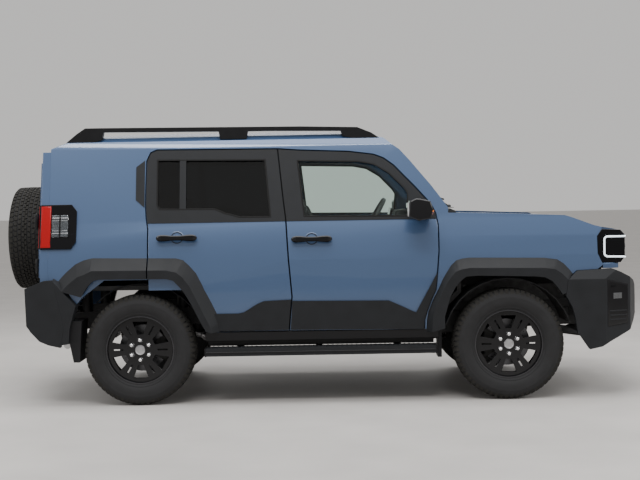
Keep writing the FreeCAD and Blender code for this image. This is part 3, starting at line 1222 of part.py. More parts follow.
doc.recompute()
for item in doc.Objects:
    if "Invalid" in item.State or "Error" in item.State:
        raise RuntimeError("failed: " + item.Name + " " + str(item.State))
os.makedirs("parts", exist_ok=True)
for item in nodes:
    shape = item.Shape
    if shape.isNull() or not shape.isValid() or not shape.Solids:
        raise RuntimeError("bad shape: " + item.Label)
    shape.exportStep("parts/" + item.Label + ".step")
    print(item.Label, len(shape.Solids), round(shape.Volume / 1e6, 2))
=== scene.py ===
"""Looks of a lifted off-road 4x4: finishes, tyres, lamps, trim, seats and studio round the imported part."""

import math

import bmesh
import bpy
from mathutils import Matrix, Vector


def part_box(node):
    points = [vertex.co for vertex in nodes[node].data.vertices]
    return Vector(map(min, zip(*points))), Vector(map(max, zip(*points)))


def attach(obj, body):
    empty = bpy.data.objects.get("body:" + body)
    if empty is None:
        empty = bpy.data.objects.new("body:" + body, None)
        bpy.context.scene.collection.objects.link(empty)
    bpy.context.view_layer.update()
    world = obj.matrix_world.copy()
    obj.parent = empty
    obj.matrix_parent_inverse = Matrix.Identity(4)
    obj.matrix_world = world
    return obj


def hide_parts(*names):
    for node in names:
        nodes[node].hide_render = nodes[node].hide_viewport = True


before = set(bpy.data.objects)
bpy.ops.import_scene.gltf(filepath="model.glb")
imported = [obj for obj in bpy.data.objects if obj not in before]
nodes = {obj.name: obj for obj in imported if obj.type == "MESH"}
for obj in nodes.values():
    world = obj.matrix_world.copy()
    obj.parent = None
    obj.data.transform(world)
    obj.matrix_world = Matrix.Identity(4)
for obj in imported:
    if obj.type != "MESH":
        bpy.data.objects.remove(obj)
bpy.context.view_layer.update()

NEAR, FAR = -1, 1
SIDES = {"r": NEAR, "l": FAR}
WHEELS = {
    "front_left": (1.33, 0.7675, FAR, "wheel_front_left"),
    "front_right": (1.33, -0.7675, NEAR, "wheel_front_right"),
    "rear_left": (-1.25, 0.7675, FAR, "wheel_rear_left"),
    "rear_right": (-1.25, -0.7675, NEAR, "wheel_rear_right"),
}
AXLE_HEIGHT = 0.3875
TYRE_RADIUS = 0.3875
TURN = 2 * math.pi


# Camera and studio

CAMERA_SPOT = (0.035, -9.6, 1.436)
CAMERA_PAN, CAMERA_TILT, CAMERA_ROLL = 0.09, 90.0 - 1.966, -1.0
LENS_MM, SENSOR_MM = 70.5, 36.0
FLOOR_REACH = 90
SKY_COLOUR, SKY_STRENGTH = (1.0, 0.985, 0.965, 1), 0.66
# Name, place, what it is aimed at, size and watts of each soft light.
LIGHTS = (
    ("top_light", (0.0, -1.0, 5.2), (0, 0, 0.8), (7.0, 3.2), 300),
    ("near_light", (-1.0, -7.6, 10.0), (0, 0, 0.7), (6.0, 2.0), 620),
    ("front_light", (6.5, -3.0, 3.4), (1.5, 0, 0.8), (3.0, 3.0), 120),
    ("rear_light", (-6.5, -3.0, 3.4), (-1.5, 0, 0.8), (3.0, 3.0), 90),
    ("far_light", (0.0, 4.4, 4.6), (0, 0, 1.2), (8.0, 1.5), 130),
)


def studio():
    """Camera at the photograph's viewing angle, a pale floor, and soft light."""
    data = bpy.data.cameras.new("camera")
    data.sensor_width = SENSOR_MM
    data.lens = LENS_MM
    data.clip_end = 100.0
    camera = bpy.data.objects.new("camera", data)
    bpy.context.scene.collection.objects.link(camera)
    turn = spin(CAMERA_PAN, "Z")
    tilt = spin(CAMERA_TILT, "X")
    roll = spin(CAMERA_ROLL, "Z")
    camera.matrix_world = offset(*CAMERA_SPOT) @ turn @ tilt @ roll
    bpy.context.scene.camera = camera

    reach = FLOOR_REACH
    corners = [(x, y, 0) for x, y in rect(-reach, reach, -reach, reach)]
    floor = grid_mesh("studio_floor", corners, [(0, 1, 2, 3)])
    floor.data.materials.append(finish("studio_floor", (0.5, 0.48, 0.46), 0.55, spread=0.06, cell=0.5))

    world = bpy.data.worlds.new("studio")
    world.use_nodes = True
    sky = world.node_tree.nodes["Background"]
    sky.inputs["Color"].default_value = SKY_COLOUR
    sky.inputs["Strength"].default_value = SKY_STRENGTH
    bpy.context.scene.world = world
    for name, spot, aim, size, power in LIGHTS:
        lamp = bpy.data.lights.new(name, "AREA")
        lamp.shape = "RECTANGLE"
        lamp.size, lamp.size_y = size
        lamp.energy = power
        lit = bpy.data.objects.new(name, lamp)
        bpy.context.scene.collection.objects.link(lit)
        lit.location = spot
        lit.rotation_euler = (Vector(aim) - Vector(spot)).to_track_quat("-Z", "Y").to_euler()


# Finishes

NOISE_LOW, NOISE_HIGH = 0.3, 0.7


def noise(tree, cell, detail):
    """Noise over the piece, in cells of a size in metres."""
    where = tree.nodes.new("ShaderNodeTexCoord")
    cloud = tree.nodes.new("ShaderNodeTexNoise")
    cloud.inputs["Scale"].default_value = 1.0 / cell
    cloud.inputs["Detail"].default_value = detail
    tree.links.new(where.outputs["Object"], cloud.inputs["Vector"])
    return cloud.outputs["Fac"]


def ranged(tree, source, low, high):
    """The noise's middle range spread from a low value to a high one."""
    node = tree.nodes.new("ShaderNodeMapRange")
    sockets = {"From Min": NOISE_LOW, "From Max": NOISE_HIGH, "To Min": low, "To Max": high}
    for socket, value in sockets.items():
        node.inputs[socket].default_value = value
    tree.links.new(source, node.inputs["Value"])
    return node.outputs["Result"]


def finish(name, colour, rough, spread=0.0, cell=0.05, rough_spread=0.0, relief=0.0, grain=0.002,
        specular=0.5, **sockets):
    """A finish whose colour, gloss and relief vary by noise over the piece."""
    made = bpy.data.materials.new(name)
    made.use_nodes = True
    tree = made.node_tree
    shader = tree.nodes["Principled BSDF"]
    shader.inputs["Base Color"].default_value = tuple(colour) + (1,)
    shader.inputs["Roughness"].default_value = rough
    shader.inputs["Specular IOR Level"].default_value = specular
    if spread or rough_spread:
        cloud = noise(tree, cell, 4.0)
    if spread:
        mix = tree.nodes.new("ShaderNodeMix")
        mix.data_type = "RGBA"
        mix.inputs["A"].default_value = tuple(c * (1 - spread) for c in colour) + (1,)
        mix.inputs["B"].default_value = tuple(c * (1 + spread) for c in colour) + (1,)
        tree.links.new(ranged(tree, cloud, 0.0, 1.0), mix.inputs["Factor"])
        tree.links.new(mix.outputs["Result"], shader.inputs["Base Color"])
    if rough_spread:
        gloss = ranged(tree, cloud, rough * (1 - rough_spread), rough * (1 + rough_spread))
        tree.links.new(gloss, shader.inputs["Roughness"])
    if relief:
        bump = tree.nodes.new("ShaderNodeBump")
        bump.inputs["Strength"].default_value = 1.0
        bump.inputs["Distance"].default_value = relief
        tree.links.new(noise(tree, grain, 2.0), bump.inputs["Height"])
        tree.links.new(bump.outputs["Normal"], shader.inputs["Normal"])
    for socket, value in sockets.items():
        shader.inputs[socket.replace("_", " ")].default_value = value
    return made


def finishes():
    """Every finish of the vehicle, by a plain name."""
    return {
        "paint": finish("body_paint", (0.042, 0.083, 0.172), 0.36, spread=0.03, cell=0.004, Coat_Weight=0.9,
            Coat_Roughness=0.03, Metallic=0.25),
        "plastic": finish("grained_plastic", (0.013, 0.014, 0.016), 0.55, spread=0.12, cell=0.09,
            rough_spread=0.1, relief=0.0003, grain=0.0016, specular=0.22),
        "sash": finish("sash_plastic", (0.022, 0.023, 0.025), 0.45, spread=0.06, cell=0.1, relief=0.0001,
            grain=0.001, specular=0.3),
        "gloss": finish("gloss_black", (0.004, 0.004, 0.005), 0.12, rough_spread=0.2, specular=0.35),
        "satin": finish("satin_black", (0.006, 0.006, 0.007), 0.36, spread=0.1, cell=0.05, rough_spread=0.15,
            specular=0.25),
        "rubber": finish("seal_rubber", (0.007, 0.007, 0.007), 0.7, spread=0.15, cell=0.03, relief=0.0002,
            specular=0.2),
        "flap": finish("flap_rubber", (0.007, 0.007, 0.008), 0.6, spread=0.2, cell=0.05, relief=0.0004,
            grain=0.004, specular=0.25),
        "tyre": finish("tyre_rubber", (0.019, 0.019, 0.02), 0.72, spread=0.16, cell=0.04, rough_spread=0.1,
            relief=0.0002, grain=0.0012, specular=0.25),
        "tread": finish("tread_rubber", (0.022, 0.021, 0.019), 0.85, spread=0.25, cell=0.02, relief=0.0004,
            grain=0.003, specular=0.2),
        "clear": finish("clear_glass", (0.8, 0.9, 0.86), 0.015, Transmission_Weight=1.0, IOR=1.3),
        "dark": finish("privacy_glass", (0.045, 0.052, 0.055), 0.02, Transmission_Weight=1.0, IOR=1.4),
        "chrome": finish("bright_metal", (0.8, 0.8, 0.81), 0.14, spread=0.04, rough_spread=0.3, Metallic=1.0),
        "steel": finish("brushed_metal", (0.42, 0.42, 0.43), 0.34, spread=0.12, cell=0.02, rough_spread=0.3,
            Metallic=1.0),
        "iron": finish("rough_iron", (0.022, 0.021, 0.02), 0.66, spread=0.3, cell=0.05, relief=0.0008,
            grain=0.006),
        "under": finish("underbody_paint", (0.008, 0.008, 0.009), 0.5, spread=0.25, cell=0.08, relief=0.0004,
            grain=0.005),
        "engine": finish("cast_alloy", (0.12, 0.12, 0.12), 0.5, spread=0.25, cell=0.04, relief=0.001,
            grain=0.006, Metallic=0.6),
        "cloth": finish("seat_cloth", (0.03, 0.03, 0.033), 0.85, spread=0.2, cell=0.01, relief=0.0006,
            grain=0.0018, Sheen_Weight=0.3),
        "trim": finish("cabin_plastic", (0.035, 0.035, 0.037), 0.6, spread=0.1, cell=0.1, relief=0.0003,
            grain=0.0015),
        "liner": finish("liner_felt", (0.016, 0.016, 0.017), 0.9, spread=0.25, cell=0.03, relief=0.0008,
            grain=0.003),
        "red": finish("red_lens", (0.28, 0.002, 0.004), 0.22, specular=0.25, Emission_Strength=0.05,
            Emission_Color=(1.0, 0.03, 0.03, 1)),
        "glow": finish("light_guide", (0.85, 0.92, 1.0), 0.2, Emission_Strength=1.2,
            Emission_Color=(0.85, 0.94, 1.0, 1)),
        "lamp": finish("lamp_black", (0.003, 0.003, 0.004), 0.1, rough_spread=0.2, specular=0.2),
        "reflector": finish("lamp_reflector", (0.22, 0.23, 0.24), 0.16, spread=0.15, cell=0.008,
            Metallic=1.0),
        "screen": finish("screen_glass", (0.006, 0.006, 0.008), 0.06, rough_spread=0.3, Coat_Weight=0.5),
        "headliner": finish("headliner", (0.3, 0.3, 0.29), 0.9, spread=0.06, relief=0.0004),
        "amber": finish("amber_lens", (0.85, 0.22, 0.02), 0.15, spread=0.08, cell=0.004, Coat_Weight=1.0),
        "lens": finish("lamp_cover", (0.8, 0.82, 0.84), 0.02, rough_spread=0.3, Transmission_Weight=1.0,
            IOR=1.2),
        "plate": finish("blank_plate", (0.62, 0.62, 0.6), 0.4, spread=0.03, cell=0.02),
        "mirror": finish("mirror_glass", (0.75, 0.77, 0.78), 0.03, rough_spread=0.3, Metallic=1.0),
        "rim_edge": finish("machined_edge", (0.07, 0.07, 0.075), 0.25, spread=0.1, cell=0.02, Metallic=1.0),
        "coil": finish("spring_steel", (0.05, 0.05, 0.055), 0.35, spread=0.15, cell=0.02, Metallic=0.6),
        "disc": finish("brake_iron", (0.1, 0.1, 0.105), 0.34, spread=0.15, cell=0.01, rough_spread=0.3,
            Metallic=1.0),
    }


NODES_BY_FINISH = {
    "under": "frame floor_pan",
    "paint": "body_side_* roof body_rear front_fenders bonnet back_door front_door_* rear_door_*",
    "plastic": "arch_flares front_bumper rear_bumper side_steps cowl quarter_trim front_door_trim_* "
    "rear_door_trim_*",
    "satin": "grille roof_rails",
    "lamp": "headlamps tail_lamps",
    "clear": "windscreen front_door_glass_*",
    "dark": "back_glass rear_door_glass_*",
    "flap": "mud_flaps",
    "liner": "wheel_tubs",
    "iron": "tow_eyes rear_axle front_suspension knuckle_*",
    "engine": "powertrain",
    "cloth": "seats",
    "trim": "dashboard steering_wheel",
    "gloss": "rim_@ spare_rim",
    "tyre": "tyre_@ spare_tyre",
}


def named_nodes(words):
    """The nodes in a line of names. A star stands for both sides, an at sign for the four wheels."""
    for word in words.split():
        if "@" in word:
            yield from (word.replace("@", wheel) for wheel in WHEELS)
        else:
            yield from sorted({word.replace("*", side) for side in SIDES})


# Mesh building

def grid_mesh(name, points, faces):
    """A mesh object from points and faces."""
    mesh = bpy.data.meshes.new(name)
    mesh.from_pydata([tuple(p) for p in points], [], faces)
    solid = bmesh.new()
    solid.from_mesh(mesh)
    bmesh.ops.recalc_face_normals(solid, faces=solid.faces)
    solid.to_mesh(mesh)
    solid.free()
    mesh.update()
    made = bpy.data.objects.new(name, mesh)
    bpy.context.scene.collection.objects.link(made)
    return made


def piece(name, shape, material, smooth=None, body="chassis"):
    """A visible piece of the vehicle, riding on a body."""
    points, faces = shape
    made = grid_mesh(name, points, faces)
    made.data.materials.append(looks[material])
    if smooth is not None:
        shade(made, smooth)
    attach(made, body)
    return made


def shade(made, angle):
    """Smooth shading, but for edges sharper than the angle in degrees."""
    made.data.polygons.foreach_set("use_smooth", [True] * len(made.data.polygons))
    made.data.set_sharp_from_angle(angle=math.radians(angle))


def joined(*shapes):
    """Several shapes as one."""
    points, faces = [], []
    for more_points, more_faces in shapes:
        faces += [tuple(i + len(points) for i in face) for face in more_faces]
        points += list(more_points)
    return points, faces


def moved(shape, matrix):
    """A shape carried by a matrix."""
    points, faces = shape
    return [matrix @ Vector(p) for p in points], faces


def spin(degrees, axis):
    """A turn about an axis."""
    return Matrix.Rotation(math.radians(degrees), 4, axis)


def offset(x, y, z):
    """A shift."""
    return Matrix.Translation((x, y, z))


def rect(low_u, high_u, low_v, high_v):
    """A rectangle's corners."""
    return [(low_u, low_v), (high_u, low_v), (high_u, high_v), (low_u, high_v)]


def extruded(outline, places):
    """An outline in XZ, set at places along Y and closed into a solid."""
    return filled([[(x, y, z) for x, z in outline] for y in places])


def flipped(shape):
    """A shape mirrored to the other side, its faces still outwards."""
    points, faces = shape
    return [(p[0], -p[1], p[2]) for p in points], [tuple(reversed(face)) for face in faces]


def lathed(profile, steps, closed=True):
    """A ring of (radius, depth) points turned about the Y axis."""
    points, faces = [], []
    count = len(profile)
    for step in range(steps):
        angle = TURN * step / steps
        points += [(r * math.cos(angle), y, r * math.sin(angle)) for r, y in profile]
    for step in range(steps):
        after = (step + 1) % steps
        for i in range(count if closed else count - 1):
            j = (i + 1) % count
            faces.append((step * count + i, step * count + j, after * count + j, after * count + i))
    if not closed:
        faces.append(tuple(step * count for step in range(steps)))
        faces.append(tuple(step * count + count - 1 for step in reversed(range(steps))))
    return points, faces


def knobbed(profile, steps):
    """A solid turned about the Y axis, with both ends closed."""
    return lathed(profile, steps, closed=False)


def filled(loops):
    """A solid through loops, with both ends closed."""
    return looped(loops, capped=True)


def looped(loops, wrap=False, capped=False):
    """Loops with the same number of points, each joined to the next."""
    count, rows = len(loops[0]), len(loops)
    faces = []
    for row in range(rows if wrap else rows - 1):
        here, there = row * count, (row + 1) % rows * count
        faces += [(here + i, here + (i + 1) % count, there + (i + 1) % count, there + i)
            for i in range(count)]
    if capped:
        faces += [tuple(reversed(range(count))), tuple(range((rows - 1) * count, rows * count))]
    return [point for loop in loops for point in loop], faces


def inset(outline, amount):
    """A closed outline moved inwards on every side."""
    count = len(outline)
    corners = [Vector(corner) for corner in outline]
    area = sum(corners[i - 1].x * corners[i].y - corners[i].x * corners[i - 1].y for i in range(count))
    side = 1 if area > 0 else -1
    made = []
    for i in range(count):
        first = (corners[i] - corners[i - 1]).normalized()
        second = (corners[(i + 1) % count] - corners[i]).normalized()
        normal = Vector((-first.y - second.y, first.x + second.x)).normalized() * side
        square = normal.dot(Vector((-first.y, first.x)) * side)
        made.append(tuple(corners[i] + normal * amount / max(square, 0.4)))
    return made


def plate(outline, back, front, edge, axis="y", crown=0.0):
    """A flat plate of an outline with a rounded front edge. Its front looks along the axis."""
    inner = inset(outline, edge)
    rows = [(outline, back), (outline, front - math.copysign(edge, front - back)), (inner, front)]
    if crown:
        rows.append((inset(outline, edge * 3), front + crown * 0.7))
        rows.append((inset(outline, edge * 6), front + crown))
    order = {"x": (2, 0, 1), "y": (0, 2, 1), "z": (0, 1, 2)}[axis]
    return filled([[tuple((u, v, d)[i] for i in order) for u, v in line] for line, d in rows])


def side_y(z):
    """How far the body side stands from the middle at a height."""
    for (low, near), (high, far) in zip(SIDE_PROFILE, SIDE_PROFILE[1:]):
        if z <= high:
            break
    return near + (far - near) * (z - low) / (high - low)


def on_side(outline, lift):
    """An outline in XZ laid on the body side, and lifted off it."""
    return [(x, side_y(z) + lift, z) for x, z in outline]


def side_ring(outline, width, low, high):
    """A closed strip that follows an outline on the body side."""
    inner = inset(outline, width)
    loops = [on_side(outline, low), on_side(outline, high), on_side(inner, high), on_side(inner, low)]
    return looped(loops, wrap=True)


def side_plate(outline, low, high, edge, crown=0.0):
    """A plate on the body side, with a rounded front edge and a crowned face."""
    loops = [on_side(outline, low), on_side(outline, high - edge), on_side(inset(outline, edge), high)]
    if crown:
        loops += [on_side(inset(outline, edge * 3), high + crown * 0.7),
            on_side(inset(outline, edge * 6), high + crown)]
    return filled(loops)


def tube(path, radius, steps=12, flat=1.0):
    """A round bar along a path of points, its ends closed."""
    path = [Vector(point) for point in path]
    loops = []
    side = None
    for i, here in enumerate(path):
        along = (path[min(i + 1, len(path) - 1)] - path[max(i - 1, 0)]).normalized()
        if side is None:
            side = along.orthogonal().normalized()
        side = (side - along * side.dot(along)).normalized()
        up = along.cross(side)
        loops.append([here + (side * math.cos(turn) + up * math.sin(turn) * flat) * radius
                for turn in (TURN * step / steps for step in range(steps))])
    return filled(loops)


def rounded(path, radius, steps=5):
    """A path whose corners are rounded off by arcs."""
    path = [Vector(point) for point in path]
    made = [path[0]]
    for before, here, after in zip(path, path[1:], path[2:]):
        start = here + (before - here).normalized() * radius
        end = here + (after - here).normalized() * radius
        for step in range(steps + 1):
            share = step / steps
            made.append(start * (1 - share) ** 2 + here * 2 * share * (1 - share) + end * share ** 2)
    return made + [path[-1]]


def ellipse(across, up, middle=(0, 0), steps=32):
    """Points round an ellipse."""
    return [(middle[0] + across * math.cos(turn), middle[1] + up * math.sin(turn))
        for turn in (TURN * step / steps for step in range(steps))]


def block(low, high, edge):
    """A box between two corners with rounded edges."""
    outline = rect(low[0], high[0], low[2], high[2])
    rows = ((inset(outline, edge), low[1]), (outline, low[1] + edge), (outline, high[1] - edge),
        (inset(outline, edge), high[1]))
    return filled([[(u, d, v) for u, v in line] for line, d in rows])


# Tyres and wheels

SIDE_PROFILE = (
    (0.3009, 0.8402), (0.4807, 0.8621), (0.6409, 0.87), (0.7992, 0.877), (1.0004, 0.8682), (1.1509, 0.8463),
    (1.2701, 0.806), (1.7996, 0.6718), (1.8504, 0.6446), (1.8856, 0.5999),
)
TYRE_PROFILE = (
    (0.2408, 0.098), (0.2412, 0.106), (0.248, 0.1095), (0.254, 0.1165), (0.257, 0.117), (0.26, 0.1165),
    (0.272, 0.1245), (0.29, 0.13), (0.31, 0.1322), (0.324, 0.1318), (0.327, 0.1322), (0.33, 0.1312),
    (0.344, 0.1275), (0.357, 0.1215), (0.368, 0.113), (0.3745, 0.104), (0.378, 0.092), (0.3795, 0.06),
    (0.38, 0.0),
)
TREAD_ROWS = (
    (0.0, 0.018, 0.0, 0.004), (0.024, 0.047, 0.45, -0.004), (0.054, 0.079, 0.15, 0.005),
)
TREAD_PITCHES = 62


def tread_top(y):
    """The tread's radius at a distance from its middle."""
    return TYRE_RADIUS - 0.0035 * (y / 0.1) ** 2


def tread_block(first, last, near, far, skew):
    """One block of tread between two angles and two widths."""
    points = []
    for lift, narrow in ((0.0, 0.0), (1.0, 0.0015)):
        for angle, y in ((first, near), (first, far), (last, far), (last, near)):
            turned = angle + skew * (1 if y == far else -1)
            turned += (narrow / TYRE_RADIUS) * (1 if angle == first else -1)
            wide = y + narrow * (1 if y == near else -1)
            radius = tread_top(wide) if lift else 0.377
            points.append((radius * math.cos(turned), wide, radius * math.sin(turned)))
    faces = [(3, 2, 1, 0), (4, 5, 6, 7)] + [(i, (i + 1) % 4, (i + 1) % 4 + 4, i + 4) for i in range(4)]
    return points, faces


def shoulder_block(first, last):
    """One lug that wraps from the tread over the shoulder."""
    inner = ((0.3775, 0.085), (0.374, 0.102), (0.364, 0.115), (0.352, 0.1225))
    outer = ((0.385, 0.0865), (0.3825, 0.104), (0.369, 0.1178), (0.353, 0.124))
    points = []
    for angle in (first, last):
        for profile in (inner, outer):
            points += [(r * math.cos(angle), y, r * math.sin(angle)) for r, y in profile]
    faces = []
    for i in range(3):
        faces.append((4 + i, 5 + i, 13 + i, 12 + i))
        faces.append((i, i + 1, i + 5, i + 4))
        faces.append((i + 8, i + 12, i + 13, i + 9))
    faces += [(0, 4, 12, 8), (3, 11, 15, 7)]
    return points, faces


def tyre_shape():
    """Carcass and tread of one tyre, its axle along Y."""
    half = list(TYRE_PROFILE)
    around = half + [(r, -y) for r, y in reversed(half[:-1])]
    carcass = lathed(around, 96)
    blocks = []
    step = TURN / TREAD_PITCHES
    for pitch in range(TREAD_PITCHES):
        start = pitch * step
        for near, far, shift, skew in TREAD_ROWS:
            for near_side, first, last in ((True, shift, shift + 0.8), (False, shift + 0.5, shift + 1.3)):
                block = tread_block(start + first * step, start + last * step, near, far, skew)
                blocks.append(block if near_side else flipped(block))
        lug = shoulder_block(start, start + 0.7 * step)
        blocks += [lug, flipped(shoulder_block(start + 0.5 * step, start + 1.2 * step))]
    return carcass, joined(*blocks)


def nut_shape():
    """One wheel nut with a domed end, pointing along -Y."""
    profile = [(0.017, 0.0), (0.017, -0.005), (0.0145, -0.008), (0.0145, -0.022), (0.0125, -0.028),
        (0.007, -0.0325), (0.0004, -0.0335)]
    return knobbed(profile, 16)


def arc_block(inner, outer, low, high, first, last, steps=10):
    """A block that runs round the Y axis between two radii, two depths and two angles in degrees."""
    loops = []
    for step in range(steps + 1):
        turn = math.radians(first + (last - first) * step / steps)
        loops.append([(r * math.cos(turn), y, r * math.sin(turn)) for r, y in rect(inner, outer, low, high)])
    return filled(loops)


NUT_CIRCLE_RADIUS = 0.06985
NUT_COUNT = 6
HUB_FACE = 0.082
RIM_EDGE = ((0.2285, -0.0995), (0.2395, -0.0995), (0.2395, -0.1035), (0.237, -0.1045), (0.231, -0.104))
SPOKE_RING = ((0.224, -0.0805), (0.2278, -0.0805), (0.2278, -0.09), (0.2262, -0.09))
BRAKE_DISC = ((0.032, 0.003), (0.078, 0.003), (0.078, 0.046), (0.165, 0.046), (0.165, 0.068), (0.032, 0.068))
FRONT_BRAKE_SHIFT = 0.018


def wheel_details(name, centre, facing, body):
    """Tyre, rim edge, nuts and cap of one wheel. Facing is the matrix that turns -Y to its outside."""
    place = Matrix.Translation(centre) @ facing
    carcass, blocks = tyre_parts
    tyre = piece(name + "_tyre", moved(joined(carcass, blocks), place), "tyre", smooth=32, body=body)
    tyre.data.materials.append(looks["tread"])
    first_block = len(carcass[1])
    for index, polygon in enumerate(tyre.data.polygons):
        if index >= first_block:
            polygon.material_index = 1
            polygon.use_smooth = False
    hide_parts("spare_tyre" if name == "spare" else "tyre_" + name)
    for part, profile, look in (("_rim_edge", RIM_EDGE, "rim_edge"), ("_spoke_ring", SPOKE_RING, "gloss")):
        piece(name + part, moved(lathed(profile, 96), place), look, smooth=40, body=body)
    nuts = []
    for nut in range(NUT_COUNT):
        turn = TURN * nut / NUT_COUNT
        spot = Vector((NUT_CIRCLE_RADIUS * math.sin(turn), 0.001 - HUB_FACE,
                NUT_CIRCLE_RADIUS * math.cos(turn)))
        nuts.append(moved(nut_shape(), place @ Matrix.Translation(spot)))
    piece(name + "_nuts", joined(*nuts), "chrome", smooth=35, body=body)
    cap = knobbed([(0.0355, -0.0815), (0.0355, -0.095), (0.0335, -0.0985), (0.03, -0.0995), (0.028, -0.0975),
            (0.02, -0.0985), (0.0005, -0.0992)], 40)
    piece(name + "_cap", moved(cap, place), "steel", smooth=35, body=body)
    if name == "spare":
        return
    front = name.startswith("front")
    # The front brakes stand further out, clear of the arms as the wheel steers.
    brake_place = place @ offset(0, -FRONT_BRAKE_SHIFT if front else 0, 0)
    piece(name + "_brake_disc", moved(lathed(BRAKE_DISC, 64), brake_place), "disc", smooth=35,
        body=body)
    vents = []
    for hole in range(24):
        turn = TURN * hole / 24
        reach = 0.098 + 0.022 * (hole % 3)
        spot = Matrix.Translation((reach * math.cos(turn), 0.0455, reach * math.sin(turn)))
        vents.append(moved(knobbed([(0.0035, 0.001), (0.0035, -0.0006), (0.003, -0.0012), (0.0004, -0.0012)],
                    10), brake_place @ spot))
    piece(name + "_disc_pins", joined(*vents), "iron", smooth=35, body=body)
    first, last = (145, 215) if front else (-30, 30)
    caliper = joined(arc_block(0.105, 0.196, 0.02, 0.0445, first, last),
        arc_block(0.105, 0.196, 0.07, 0.092, first, last), arc_block(0.169, 0.1985, 0.02, 0.092, first + 8,
            last - 8))
    # The caliper's own frame isn't turned with the wheel: it rides on what carries the wheel.
    if name.endswith("left"):
        caliper = moved(caliper, spin(180, "Y"))
    carrier = {"front_left": "knuckle_left", "front_right": "knuckle_right"}.get(name, "chassis")
    held = piece(name + "_caliper", moved(caliper, brake_place), "iron", smooth=35, body=carrier)
    soften(held, 0.004)


def wheels():
    """Every wheel's own pieces."""
    for name, (x, y, side, body) in WHEELS.items():
        facing = spin(180, "Z") if side == FAR else Matrix.Identity(4)
        wheel_details(name, (x, y, AXLE_HEIGHT), facing, body)
    low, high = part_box("spare_tyre")
    middle = [(a + b) / 2 for a, b in zip(low, high)]
    wheel_details("spare", middle, spin(-90.0, "Z"), "door_back")


# Soft edges of the solids

SOFT_EDGES = {
    0.002: "grille mud_flaps cowl",
    0.003: "body_rear back_door side_steps tail_lamps tow_eyes body_side_* front_door_* rear_door_* "
    "front_door_trim_* rear_door_trim_* rim_@ spare_rim", 0.004: "arch_flares bonnet headlamps",
    0.005: "front_fenders roof_rails", 0.006: "roof front_bumper rear_bumper powertrain knuckle_*",
    0.01: "dashboard",
}
SHARP_ANGLE, BEVEL_ANGLE = math.radians(17), math.radians(28)
WELD_DISTANCE = 0.00002


def smoothing():
    """A node group that shades faces smooth, but for the edges between faces at a wide angle."""
    group = bpy.data.node_groups.new("smooth_faces", "GeometryNodeTree")
    for way in ("INPUT", "OUTPUT"):
        group.interface.new_socket(name="Geometry", in_out=way, socket_type="NodeSocketGeometry")
    source = group.nodes.new("NodeGroupInput")
    target = group.nodes.new("NodeGroupOutput")
    faces = group.nodes.new("GeometryNodeSetShadeSmooth")
    cleared = group.nodes.new("GeometryNodeSetShadeSmooth")
    cleared.domain = "EDGE"
    edges = group.nodes.new("GeometryNodeSetShadeSmooth")
    edges.domain = "EDGE"
    edges.inputs["Shade Smooth"].default_value = False
    angle = group.nodes.new("GeometryNodeInputMeshEdgeAngle")
    wide = group.nodes.new("FunctionNodeCompare")
    wide.operation = "GREATER_THAN"
    wide.inputs[1].default_value = SHARP_ANGLE
    group.links.new(source.outputs[0], faces.inputs["Geometry"])
    group.links.new(faces.outputs[0], cleared.inputs["Geometry"])
    group.links.new(cleared.outputs[0], edges.inputs["Geometry"])
    group.links.new(angle.outputs["Unsigned Angle"], wide.inputs[0])
    group.links.new(wide.outputs[0], edges.inputs["Selection"])
    group.links.new(edges.outputs[0], target.inputs[0])
    return group


def soften(made, width):
    """Rounds the sharp edges of a piece, as moulded and pressed ones are."""
    made.modifiers.new("joined_faces", "WELD").merge_threshold = WELD_DISTANCE
    bevel = made.modifiers.new("soft_edges", "BEVEL")
    bevel.width = width
    bevel.segments = 2
    bevel.limit_method = "ANGLE"
    bevel.angle_limit = BEVEL_ANGLE
    bevel.harden_normals = False
    made.modifiers.new("smooth_faces", "NODES").node_group = smooth_faces
    normals = made.modifiers.new("flat_faces", "WEIGHTED_NORMAL")
    normals.keep_sharp = True
    return made


# Springs, exhaust and plates under the body

def helix(middle, radius, low, high, turns, steps=20):
    """Points of a coil spring about an upright line."""
    count = int(turns * steps)
    x, y = middle
    turns = [TURN * i / steps for i in range(count + 1)]
    return [(x + radius * math.cos(turn), y + radius * math.sin(turn), low + (high - low) * i / count)
        for i, turn in enumerate(turns)]


# Name, outline from the side, places across, slot and width of the soft edge.
UNDER_PLATES = (
    ("skid_plate", ((2.055, 0.41), (1.96, 0.372), (1.7, 0.41), (1.62, 0.44), (1.62, 0.452), (1.702, 0.422),
            (1.958, 0.384), (2.05, 0.422)), (-0.34, -0.33, 0.33, 0.34), "iron", 0.003),
    ("fuel_tank", ((-0.8, 0.395), (-0.76, 0.362), (-0.06, 0.362), (0.0, 0.39), (0.0, 0.46), (-0.8, 0.46)),
        (0.09, 0.104, 0.316, 0.33), "underbody", 0.008),
    ("gearbox_shield", ((0.95, 0.385), (0.94, 0.372), (0.42, 0.352), (0.12, 0.372), (0.11, 0.385),
            (0.13, 0.378), (0.42, 0.358), (0.93, 0.378)), (-0.3, -0.29, 0.29, 0.3), "underbody", 0.002),
)


